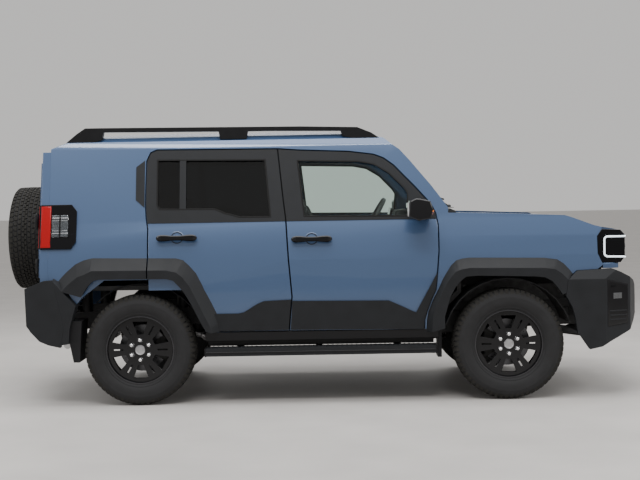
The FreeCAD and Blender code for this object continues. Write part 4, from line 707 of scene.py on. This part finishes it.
def underbody():
    """Coil springs, exhaust and skid plate."""
    for name, y in (("right", -1), ("left", 1)):
        piece("rear_coil_" + name, tube(helix((-1.25, 0.38 * y), 0.054, 0.438, 0.52, 3.5), 0.0075, 8), "coil",
            smooth=60)
        piece("front_coil_" + name, tube(helix((1.33, 0.492 * y), 0.049, 0.552, 0.7, 5), 0.0065, 8), "coil",
            smooth=60)
    pipe = rounded(((0.95, -0.24, 0.425), (-0.36, -0.24, 0.425), (-0.9, -0.24, 0.425), (-1.06, -0.24, 0.492),
            (-1.44, -0.24, 0.492), (-1.62, -0.27, 0.44), (-1.8, -0.52, 0.43), (-1.8, -0.66, 0.405)), 0.05)
    piece("exhaust_pipe", tube(pipe, 0.026, 16), "steel", smooth=60)
    can = [(x, 0.425, r)
        for x, r in ((-0.4, 0.028), (-0.42, 0.055), (-0.45, 0.064), (-0.83, 0.064), (-0.86, 0.055),
            (-0.88, 0.028))]
    loops = [[(x, -0.24 + r * math.cos(TURN * i / 28), z + 0.8 * r * math.sin(TURN * i / 28))
            for i in range(28)] for x, z, r in can]
    piece("exhaust_can", filled(loops), "steel", smooth=50)
    for name, outline, places, slot, edge in UNDER_PLATES:
        soften(piece(name, extruded(outline, places), "under", smooth=30), edge)


# Window seals, wipers, grips, mirrors and door cards

FRONT_WINDOW = ((-0.135, 1.7019), (-0.0915, 1.2975), (0.6405, 1.2877), (0.6497, 1.4557), (0.6222, 1.4968),
    (0.517, 1.6042), (0.4095, 1.6687), (0.2997, 1.6902))
REAR_WINDOW = ((-1.1255, 1.7215), (-1.1255, 1.3912), (-1.1049, 1.3619), (-0.7183, 1.358), (-0.6497, 1.3287),
    (-0.5421, 1.2994), (-0.318, 1.2975), (-0.3546, 1.7117))
HANDLES = {"front": (-0.167, 1.1445), "rear": (-1.109, 1.1675)}
HANDLE_LENGTH = 0.26
GRIP_CORNER_SHARE = 0.3
# Along the grip, its half height, its near side and its far side.
GRIP_ROWS = ((-0.013, 0.004, 0.8735, 0.8785), (-0.004, 0.0165, 0.867, 0.886), (0.022, 0.023, 0.8665, 0.888),
    (0.055, 0.022, 0.866, 0.889), (0.095, 0.0165, 0.866, 0.8895))
FIXED = ("chassis", "chassis")


def leaves(door):
    """The bodies of a left and a right door."""
    return "door_" + door + "_left", "door_" + door + "_right"


def both(name, shape, material, bodies, smooth=None, edge=0.0):
    """A left-hand piece and its mirror image on the right."""
    made = []
    for side, body in zip(("l", "r"), bodies):
        item = piece(name + "_" + side, shape if side == "l" else flipped(shape), material, smooth,
            body)
        if edge:
            soften(item, edge)
        made.append(item)
    return made


def glazing():
    """Rubber round the panes and at the pillars, the cowl's slots, wipers and the third stop lamp."""
    for door, outline in (("front", FRONT_WINDOW), ("rear", REAR_WINDOW)):
        seal = side_ring(outline, 0.011, -0.0142, 0.0035)
        both(door + "_window_seal", seal, "rubber", leaves(door), edge=0.002)
    for name, low, high, middle in (
            ("upper", -0.0515, -0.022, ((-0.212, 1.28), (-0.233, 1.42), (-0.27, 1.78))),
            ("lower", -0.1065, -0.03, ((-0.202, 0.51), (-0.181, 0.744), (-0.201, 1.0), (-0.211, 1.265)))):
        outline = [(x - 0.01, z) for x, z in middle] + [(x + 0.01, z) for x, z in reversed(middle)]
        strip = filled([on_side(outline, low), on_side(outline, high)])
        both("pillar_seal_" + name, strip, "rubber", FIXED)
    blades = []
    for pivot, tip in ((-0.1, -0.66), (0.46, -0.06)):
        arm = rounded(((1.0, pivot, 1.352), (0.966, pivot, 1.372), (0.905, pivot - 0.16, 1.416),
                (0.886, (pivot + tip) / 2, 1.4285)), 0.02)
        blades.append(tube(arm, 0.0065, 8, flat=0.6))
        blades.append(tube([(0.925, pivot - 0.02, 1.384), (0.893, (pivot + tip) / 2, 1.419),
                    (0.905, tip, 1.406)], 0.0055, 6, flat=1.6))
        hub = knobbed([(0.016, -0.01), (0.016, 0.006), (0.01, 0.012), (0.001, 0.013)], 20)
        blades.append(moved(hub, offset(1.0, pivot, 1.35) @ spin(90, "X")))
    piece("wipers", joined(*blades), "satin", smooth=50)
    vents = [block((0.955, -0.6 + 0.046 * i, 1.3425), (0.985, -0.6 + 0.046 * i + 0.026, 1.346), 0.001)
        for i in range(26)]
    piece("cowl_slots", joined(*vents), "satin")
    lamp = plate(rect(-0.2, 0.2, 1.744, 1.764), -1.936, -1.946, 0.003, axis="x")
    piece("high_stop_lamp", lamp, "red", smooth=30)


def mirror_shell():
    """The mirror's housing, fitted round its solid, for the left side."""
    outline = ((0.6314, 1.2896), (0.6405, 1.3991), (0.6794, 1.4167), (0.78, 1.3952), (0.7961, 1.3404),
        (0.78, 1.276), (0.7, 1.2623))
    middle = Vector((0.712, 1.338))
    loops = []
    for y, share in ((0.874, 0.8), (0.8765, 1.005), (0.884, 1.012), (0.94, 1.02), (1.02, 1.018),
            (1.046, 1.01), (1.0535, 1.003), (1.057, 0.9)):
        loops.append([(middle.x + (x - middle.x) * share, y, middle.y + (z - middle.y) * share)
                for x, z in outline])
    return filled(loops)


# Outlines of each door's card and its arm rest.
DOOR_CARDS = (
    ("front", ((-0.155, 0.56), (0.7, 0.66), (0.745, 0.83), (0.76, 1.18), (0.7, 1.255), (-0.19, 1.255),
            (-0.18, 0.9)), ((0.02, 1.02), (0.46, 1.035), (0.46, 1.075), (0.02, 1.07))),
    ("rear", ((-0.26, 0.66), (-0.76, 0.7), (-0.9, 0.88), (-1.08, 1.02), (-1.105, 1.18), (-1.105, 1.255),
            (-0.29, 1.255), (-0.27, 0.9)), ((-0.86, 1.03), (-0.4, 1.03), (-0.4, 1.072), (-0.86, 1.072))),
)


def doors():
    """Grips, cups, mirrors, door cards and arm rests."""
    for door, (x, z) in HANDLES.items():
        end = x + HANDLE_LENGTH
        loops = []
        ends = [(x + step, *row) for step, *row in GRIP_ROWS]
        ends += [(end - step, *row) for step, *row in reversed(GRIP_ROWS)]
        for at, half, near, far in ends:
            cut = half * GRIP_CORNER_SHARE
            loops.append([(at, near, z - half + cut), (at, near + cut, z - half), (at, far - cut, z - half),
                    (at, far, z - half + cut), (at, far, z + half - cut), (at, far - cut, z + half),
                    (at, near + cut, z + half), (at, near, z + half - cut)])
        bodies = leaves(door)
        both(door + "_grip", filled(loops), "gloss", bodies, smooth=40)
        middle = (x + HANDLE_LENGTH * 0.5, z)
        cup = filled([on_side(ellipse(0.048 * share, 0.045 * share, middle), lift)
                for share, lift in ((1.0, -0.002), (1.0, 0.0006), (0.96, 0.0022), (0.9, 0.0022), (0.8, 0.001),
                    (0.45, 0.0005), (0.05, 0.0004))])
        both(door + "_cup", cup, "paint", bodies, smooth=50)
        # A thin dark satin ring inside the cup is painted shade: it stands in for the shadow in the cup's
        # hollow above and below the grip.
        cup_shade_ring = looped([on_side(ellipse(0.048 * share, 0.045 * share, middle), lift)
                for share, lift in ((0.9, 0.0008), (0.9, 0.0028), (0.76, 0.0018), (0.76, 0.0008))], wrap=True)
        both(door + "_cup_seam", cup_shade_ring, "satin", bodies, smooth=50)
        feet = joined(*[side_plate(rect(at - 0.012, at + 0.012, z - 0.016, z + 0.016), -0.001, 0.006, 0.002)
                for at in (x + 0.012, end - 0.012)])
        both(door + "_grip_feet", feet, "gloss", bodies, smooth=40)
    bodies = leaves("front")
    for shell in both("mirror_shell", mirror_shell(), "gloss", bodies, smooth=35):
        soften(shell, 0.006)
    glass = plate(rect(0.892, 1.036, 1.292, 1.388), 0.634, 0.6235, 0.004, axis="x")
    both("mirror_pane", glass, "mirror", bodies, smooth=30)
    blinker = plate([(0.935, 1.3), (1.044, 1.322), (1.044, 1.334), (0.935, 1.312)], 0.79, 0.8035, 0.002,
        axis="x")
    both("mirror_blinker", blinker, "amber", bodies, smooth=30)
    for door, outline, rest in DOOR_CARDS:
        bodies = leaves(door)
        card = filled([on_side(outline, -0.099), on_side(outline, -0.103),
                on_side(inset(outline, 0.006), -0.1055)])
        both(door + "_door_card", card, "trim", bodies, smooth=30)
        arm = filled([on_side(rest, -0.104), on_side(rest, -0.135), on_side(inset(rest, 0.01), -0.148)])
        both(door + "_arm_rest", arm, "trim", bodies, smooth=30, edge=0.006)


# Nose and tail

LAMP_PARTS = (
    ("bowl", ((0.036, 0.0), (0.036, 0.006), (0.032, 0.008), (0.028, 0.004), (0.016, 0.001), (0.001, 0.0005)),
        "reflector"),
    ("lens", ((0.03, 0.004), (0.03, 0.009), (0.026, 0.0125), (0.016, 0.015), (0.001, 0.0158)), "lens"),
)


def nose():
    """Lamps, grille mesh, bumper panels and the bonnet's small parts."""
    guide = rounded(((2.153, 0.64, 1.128), (2.153, 0.846, 1.128), (2.14, 0.8535, 1.126),
            (2.02, 0.8535, 1.126), (2.006, 0.8535, 1.112), (2.006, 0.8535, 1.0), (2.02, 0.8535, 0.986),
            (2.14, 0.8535, 0.984), (2.153, 0.846, 0.982), (2.153, 0.64, 0.982)), 0.008, 3)
    both("lamp_ring", tube(guide, 0.0062, 8), "glow", FIXED, smooth=60)
    for index, y in enumerate((0.695, 0.785)):
        aim = offset(2.15, y, 1.055) @ spin(-90, "Z")
        for part, profile, look in LAMP_PARTS:
            shape = moved(knobbed(profile, 32), aim)
            both("lamp_" + part + "_" + str(index), shape, look, FIXED, smooth=40)
    chin = plate([(1.992, 0.64), (2.128, 0.64), (2.124, 0.78), (2.104, 0.838), (2.06, 0.858), (1.992, 0.866)],
        0.906, 0.9425, 0.004, axis="z")
    both("lamp_chin", chin, "paint", FIXED, smooth=40)
    wires = []
    for i in range(9):
        z = 0.936 + 0.0195 * i
        wires.append(block((2.07, -0.585, z - 0.0012), (2.074, 0.585, z + 0.0012), 0.0004))
    for i in range(59):
        y = -0.58 + 0.02 * i
        wires.append(block((2.0735, y - 0.0012, 0.934), (2.0775, y + 0.0012, 1.09), 0.0004))
    piece("grille_mesh", joined(*wires), "satin")
    core = joined(*[block((2.04, -0.58, 0.934 + 0.0155 * i), (2.05, 0.58, 0.934 + 0.0155 * i + 0.0125), 0.002)
            for i in range(10)])
    piece("radiator_fins", core, "steel")
    for name, box, back, front, look in (("lower_duct", (-0.62, 0.62, 0.78, 0.918), 2.028, 2.036, "satin"),
            ("grille_bar", (-0.13, 0.13, 0.992, 1.03), 2.138, 2.1465, "gloss")):
        piece(name, plate(rect(*box), back, front, 0.003, axis="x"), look, smooth=30)
    intake = plate([(-0.4, 0.585), (0.4, 0.585), (0.43, 0.68), (-0.43, 0.68)], 2.284, 2.2895, 0.002, axis="x")
    piece("bumper_intake", intake, "satin", smooth=30)
    slats = joined(*[block((2.287, -0.385, z), (2.2935, 0.385, z + 0.009), 0.002)
            for z in (0.602, 0.622, 0.642, 0.662)])
    piece("intake_slats", slats, "plastic")
    corner = Vector((2.185 - 1.995, 0.85 - 0.9275, 0.0))
    turn = offset(1.995, 0.9275, 0) @ Matrix.Rotation(math.atan2(corner.y, corner.x), 4, "Z")
    panel = plate([(0.016, 0.5), (0.184, 0.52), (0.184, 0.795), (0.016, 0.83)], -0.002, 0.0045, 0.003,
        crown=0.001)
    both("fog_panel", moved(panel, turn), "gloss", FIXED, smooth=30)
    fins = joined(*[block((0.03, 0.003, z), (0.17, 0.0085, z + 0.01), 0.002) for z in (0.545, 0.575, 0.605)])
    both("fog_fins", moved(fins, turn), "plastic", FIXED)
    for name, box, front, look in (("fog_lamp", (0.06, 0.13, 0.695, 0.735), 0.009, "reflector"),
            ("fog_marker", (0.04, 0.085, 0.775, 0.79), 0.008, "lamp")):
        both(name, moved(plate(rect(*box), 0.003, front, 0.002), turn), look, FIXED, smooth=30)
    for side, y in (("r", -0.3), ("l", 0.3)):
        stop = knobbed([(0.012, 0.0), (0.012, 0.008), (0.008, 0.011), (0.001, 0.0115)], 16)
        aim = offset(2.03, y, 1.144) @ spin(90, "X")
        piece("bonnet_stop_" + side, moved(stop, aim), "rubber", smooth=40)


def tail():
    """Tail lamps, plate, back door's handle, hinges and wiper."""
    red = side_plate(rect(-1.931, -1.862, 1.114, 1.402), 0.013, 0.0185, 0.002, crown=0.0015)
    both("tail_red", red, "red", FIXED, smooth=40)
    bowl = side_plate(rect(-1.855, -1.742, 1.19, 1.338), 0.013, 0.0165, 0.001)
    both("tail_reflector", bowl, "reflector", FIXED)
    ribs = joined(*[side_plate(rect(-1.853, -1.744, z, z + 0.004), 0.016, 0.0185, 0.001)
            for z in (1.212 + 0.0175 * i for i in range(7))])
    both("tail_ribs", ribs, "chrome", FIXED)
    clear = side_plate(rect(-1.858, -1.739, 1.187, 1.341), 0.0165, 0.0215, 0.002, crown=0.001)
    both("tail_lens", clear, "lens", FIXED, smooth=40)
    divider = side_plate(rect(-1.803, -1.793, 1.187, 1.341), 0.0205, 0.0245, 0.001)
    both("tail_divider", divider, "lamp", FIXED)
    outline = [(side_y(z) - inward, z) for z, inward in rect(1.104, 1.41, 0.004, 0.054)]
    both("tail_back", plate(outline, -1.936, -1.948, 0.004, axis="x"), "lamp", FIXED, smooth=30)
    inner = inset(outline, 0.008)
    both("tail_back_red", plate(inner, -1.947, -1.952, 0.002, axis="x", crown=-0.001), "red", FIXED,
        smooth=30)
    blank = plate(rect(-0.165, 0.165, 0.585, 0.7), -2.096, -2.101, 0.002, axis="x")
    piece("plate_panel", blank, "plate", smooth=30)
    for side, y in (("r", -0.1), ("l", 0.1)):
        shade_lamp = block((-2.108, y - 0.03, 0.712), (-2.093, y + 0.03, 0.726), 0.003)
        piece("plate_lamp_" + side, shade_lamp, "satin", smooth=30)
    reflex = plate(rect(0.64, 0.8, 0.64, 0.665), -2.028, -2.0345, 0.002, axis="x")
    both("rear_reflex", reflex, "red", FIXED, smooth=30)
    grip = plate(rect(0.5, 0.69, 1.12, 1.165), -1.959, -1.985, 0.008, axis="x")
    soften(piece("back_handle", grip, "gloss", smooth=30, body="door_back"), 0.003)
    for index, z in enumerate((0.985, 1.3)):
        leaf = plate([(-0.79, z - 0.045), (-0.56, z - 0.028), (-0.56, z + 0.028), (-0.79, z + 0.045)], -1.959,
            -1.97, 0.004, axis="x")
        piece("back_hinge_" + str(index), leaf, "gloss", smooth=30, body="door_back")
        pin = knobbed([(0.011, -0.05), (0.013, -0.046), (0.013, 0.046), (0.011, 0.05)], 20)
        knuckle = offset(-1.969, -0.795, z) @ spin(90, "X")
        piece("back_hinge_pin_" + str(index), moved(pin, knuckle), "satin", smooth=40,
            body="door_back")
    arm = tube([(-1.966, 0.18, 1.352), (-1.972, 0.17, 1.372), (-1.956, -0.02, 1.4), (-1.9545, -0.16, 1.41)],
        0.006, 8)
    hub = moved(knobbed([(0.02, 0.0), (0.02, 0.012), (0.014, 0.018), (0.001, 0.019)], 24),
        offset(-1.959, 0.18, 1.35) @ spin(90, "Z"))
    piece("back_wiper", joined(arm, hub), "satin", smooth=50, body="door_back")
    ring = rect(-0.5525, 0.5525, 1.3678, 1.6511)
    inner = inset(ring, 0.012)
    seal = looped([[(d, u, v) for u, v in line]
            for line, d in ((ring, -1.9465), (ring, -1.9625), (inner, -1.9625), (inner, -1.9465))], wrap=True)
    soften(piece("back_window_seal", seal, "rubber", body="door_back"), 0.002)
    bolts = []
    for turn in range(5):
        angle = TURN * turn / 5
        place = offset(-1.985, 0.055 * math.sin(angle), 1.162 + 0.055 * math.cos(angle))
        bolts.append(moved(nut_shape(), place @ spin(90, "Z") @ Matrix.Scale(0.4, 4)))
    piece("carrier_bolts", joined(*bolts), "steel", smooth=35, body="door_back")


# Steps

def steps():
    """Ribbed treads, end caps and edge strips of the side steps, sill covers and the flares' ends."""
    inner = ((-1.85, 0.912), (-1.76, 0.86), (-1.676, 0.715), (-1.724, 0.557), (-1.735, 0.44), (-1.79, 0.43))
    outer = ((-1.838, 0.88), (-1.778, 0.812), (-1.684, 0.708), (-1.728, 0.556), (-1.738, 0.444),
        (-1.788, 0.436))
    end = filled([[(x, y, z) for x, z in line] for line, y in ((inner, 0.842), (outer, 0.926))])
    both("flare_end", end, "plastic", FIXED, smooth=30)
    cover = side_plate(rect(-0.79, 0.84, 0.44, 0.502), -0.02, 0.004, 0.002)
    both("sill_cover", cover, "satin", FIXED, smooth=30)
    board = block((-0.78, 0.785, 0.399), (0.81, 0.799, 0.436), 0.003)
    both("step_board", board, "satin", FIXED)
    ribs = []
    for i in range(46):
        x = -0.745 + 0.0335 * i
        ribs.append(block((x, 0.806, 0.394), (x + 0.012, 0.906, 0.3985), 0.0015))
    both("step_ribs", joined(*ribs), "plastic", FIXED)
    strip = rect(-0.786, 0.816, 0.356, 0.37)
    both("step_strip", plate(strip, 0.925, 0.9305, 0.002), "satin", FIXED, smooth=30)
    for end, x in (("back", -0.789), ("front", 0.819)):
        ends = rect(0.786, 0.93, 0.337, 0.398)
        shape = plate(ends, x - math.copysign(0.004, x), x + math.copysign(0.006, x), 0.003, axis="x")
        both("step_end_" + end, shape, "satin", FIXED, smooth=30)


# Cabin

# How square a pad's corners are, and the share of its width and the depth of a sewn line.
CORNER_POWER, SEAM_SHARE, SEAM_DEPTH = 7.0, 0.035, 0.01


def cushion_shape(length, width, thick, crown, channels=(), across=(), cells=22):
    """A crowned pad about the origin: X is its length, Y its width and Z its thickness.

    Its sides pull in between the corners. Channels are sewn lines along X at a share of the half width;
    across gives those along Y at a share of the half length."""
    solid = bmesh.new()
    bmesh.ops.create_cube(solid, size=2.0)
    bmesh.ops.subdivide_edges(solid, edges=solid.edges, cuts=cells, use_grid_fill=True)
    for vertex in solid.verts:
        u, v, w = vertex.co
        size = (abs(u) ** CORNER_POWER + abs(v) ** CORNER_POWER + abs(w) ** 3.0) ** (1 / CORNER_POWER)
        u, v = u / size, v / size
        w = w / max((abs(w) ** 3.0 + abs(u) ** 6 + abs(v) ** 6) ** (1 / 3.0), 1.0)
        swell = (1 - u * u) * (1 - v * v)
        sewn = sum(math.exp(-((v - line) / SEAM_SHARE) ** 2) for line in channels)
        sewn += sum(math.exp(-((u - line) / SEAM_SHARE) ** 2) for line in across)
        x = u * length / 2 * (1 - 0.02 * (1 - v * v))
        y = v * width / 2 * (1 - 0.03 * (1 - u * u))
        z = w * thick / 2
        if w > 0:
            z += crown * swell * w - SEAM_DEPTH * min(sewn, 1.0) * w * swell ** 0.3
        vertex.co = (x, y, z)
    points = [tuple(vertex.co) for vertex in solid.verts]
    faces = [tuple(vertex.index for vertex in face.verts) for face in solid.faces]
    solid.free()
    return points, faces


def cushion(name, size, crown, spot, lean, channels=(), across=()):
    """A pad set at a place and leaned back by an angle in degrees."""
    shape = cushion_shape(*size, crown, channels, across)
    place = Matrix.Translation(spot) @ spin(lean, "Y")
    made = piece(name, moved(shape, place), "cloth", smooth=60)
    return made


def cabin():
    """Seats, steering wheel, dashboard details and headliner."""
    for name, y in (("right", -0.386), ("left", 0.386)):
        cushion("seat_base_" + name, (0.5, 0.47, 0.15), 0.018, (0.255, y, 0.838), -3.0,
                (-0.56, 0.56), (-0.25, 0.3))
        cushion("seat_back_" + name, (0.57, 0.46, 0.105), 0.014, (-0.066, y, 1.165), -109.5,
                (-0.56, 0.56), (-0.3, 0.25))
        cushion("seat_head_" + name, (0.185, 0.245, 0.085), 0.01, (-0.205, y, 1.572), -100.0)
        for part, spot, size, lean in (
                ("base", (0.255, 0.0, 0.868), (0.44, 0.075, 0.135), -3.0),
                ("back", (-0.052, 0.0, 1.16), (0.44, 0.075, 0.115), -109.5)):
            for mark, shift in (("in", -0.212), ("out", 0.212)):
                cushion("seat_" + part + "_roll_" + mark + "_" + name, size, 0.006,
                        (spot[0], y + shift, spot[2]), lean)
        rails = [block((0.05, y + inner, 0.625), (0.47, y + outer, 0.775), 0.006)
            for inner, outer in ((-0.19, -0.15), (0.15, 0.19))]
        piece("seat_rails_" + name, joined(*rails), "iron")
        posts = [tube([(-0.184, y + shift, 1.4), (-0.206, y + shift, 1.52)], 0.006, 10)
            for shift in (-0.05, 0.05)]
        piece("head_posts_" + name, joined(*posts), "chrome", smooth=50)
    for name, y, wide in (("right", -0.405, 0.4), ("middle", 0.0, 0.4), ("left", 0.405, 0.4)):
        cushion("bench_base_" + name, (0.455, wide, 0.125), 0.016, (-0.64, y, 0.853), -2.0,
                (-0.5, 0.5))
        cushion("bench_back_" + name, (0.56, wide, 0.105), 0.014, (-0.975, y, 1.17), -106.5,
                (-0.5, 0.5), (0.1,))
    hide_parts("seats")
    turn = offset(0.4049, -0.3859, 1.2541) @ spin(120, "Y") @ spin(90, "X")
    ring = lathed([(0.175 + 0.0165 * math.cos(TURN * i / 14), 0.0165 * math.sin(TURN * i / 14))
            for i in range(14)], 56)
    wheel = piece("steering_ring", moved(ring, turn), "trim", smooth=60)
    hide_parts("steering_wheel")
    spokes = []
    for angle in (0, 90, -90):
        spoke = filled([[(x, y, z) for y, z in rect(-d, d, -h, h)]
                for x, d, h in ((0.03, 0.01, 0.026), (0.1, 0.007, 0.017), (0.176, 0.006, 0.013))])
        spokes.append(moved(spoke, turn @ spin(angle, "Y")))
    pad = filled([[(x * share, y, z * share) for x, z in ellipse(0.07, 0.058, steps=24)]
            for share, y in ((0.5, 0.03), (0.85, 0.026), (1.0, 0.014), (1.0, -0.004), (0.9, -0.018),
                (0.6, -0.024))])
    column = knobbed([(0.03, 0.02), (0.042, 0.03), (0.046, 0.075), (0.04, 0.185), (0.025, 0.19)], 28)
    hub = piece("steering_hub", joined(*spokes, moved(pad, turn), moved(column, turn)), "trim",
        smooth=40)
    soften(hub, 0.003)
    screen = block((0.548, -0.15, 1.15), (0.566, 0.15, 1.345), 0.006)
    lean = offset(0.56, 0, 1.3) @ spin(12, "Y") @ offset(-0.56, 0, -1.3)
    piece("dash_screen", moved(screen, lean), "screen", smooth=30)
    hood = extruded(((0.6, 1.262), (0.56, 1.3), (0.575, 1.33), (0.64, 1.338), (0.74, 1.322), (0.74, 1.29)),
        (-0.556, -0.546, -0.226, -0.216))
    soften(piece("dash_hood", hood, "trim", smooth=40), 0.008)
    vents = []
    for y in (-0.585, -0.195, 0.195, 0.585):
        for i in range(5):
            vents.append(block((0.539, y - 0.045, 1.16 + 0.013 * i), (0.552, y + 0.045, 1.165 + 0.013 * i),
                    0.0015))
    piece("dash_vents", joined(*vents), "satin")
    box_lid = plate(rect(0.225, 0.56, 1.01, 1.14), 0.56, 0.5385, 0.006, axis="x")
    piece("glove_lid", box_lid, "trim", smooth=30)
    tunnel = extruded(((-0.02, 0.64), (-0.02, 0.89), (0.3, 0.905), (0.42, 0.96), (0.575, 1.02),
            (0.575, 0.64)), (-0.105, -0.09, 0.09, 0.105))
    soften(piece("console", tunnel, "trim", smooth=30), 0.01)
    knob = knobbed([(0.012, 0.0), (0.009, 0.03), (0.01, 0.055), (0.021, 0.07), (0.024, 0.09), (0.018, 0.106),
            (0.001, 0.11)], 24)
    piece("shift_knob", moved(knob, offset(0.3, 0.0, 0.9) @ spin(90, "X")), "satin", smooth=50)
    loops = []
    across = (-0.56, -0.5, -0.35, 0, 0.35, 0.5, 0.56)
    for x, z in ((-1.84, 1.8), (-1.7, 1.838), (-1.3, 1.868), (-0.6, 1.874), (-0.05, 1.868), (0.25, 1.846),
            (0.4, 1.805)):
        loops.append([(x, y, z + lift - 0.035 * (abs(y) / 0.56) ** 4)
                for lift, row in ((0, across), (0.006, across[::-1])) for y in row])
    piece("roof_lining", filled(loops), "headliner", smooth=50)
    rear_view = plate([(-0.125, 1.64), (0.125, 1.64), (0.13, 1.705), (-0.13, 1.705)], 0.52, 0.496, 0.006,
        axis="x")
    piece("cabin_mirror", rear_view, "satin", smooth=30)
    for name, y in (("right", -0.3), ("left", 0.3)):
        visor = plate(rect(y - 0.21, y + 0.21, 1.76, 1.83), 0.445, 0.43, 0.005, axis="x")
        piece("visor_" + name, visor, "headliner", smooth=30)


looks = finishes()
smooth_faces = smoothing()
studio()
for look, words in NODES_BY_FINISH.items():
    for node in named_nodes(words):
        nodes[node].data.materials.clear()
        nodes[node].data.materials.append(looks[look])
for width, words in SOFT_EDGES.items():
    for node in named_nodes(words):
        soften(nodes[node], width)
tyre_parts = tyre_shape()
wheels()
underbody()
glazing()
doors()
nose()
tail()
steps()
cabin()
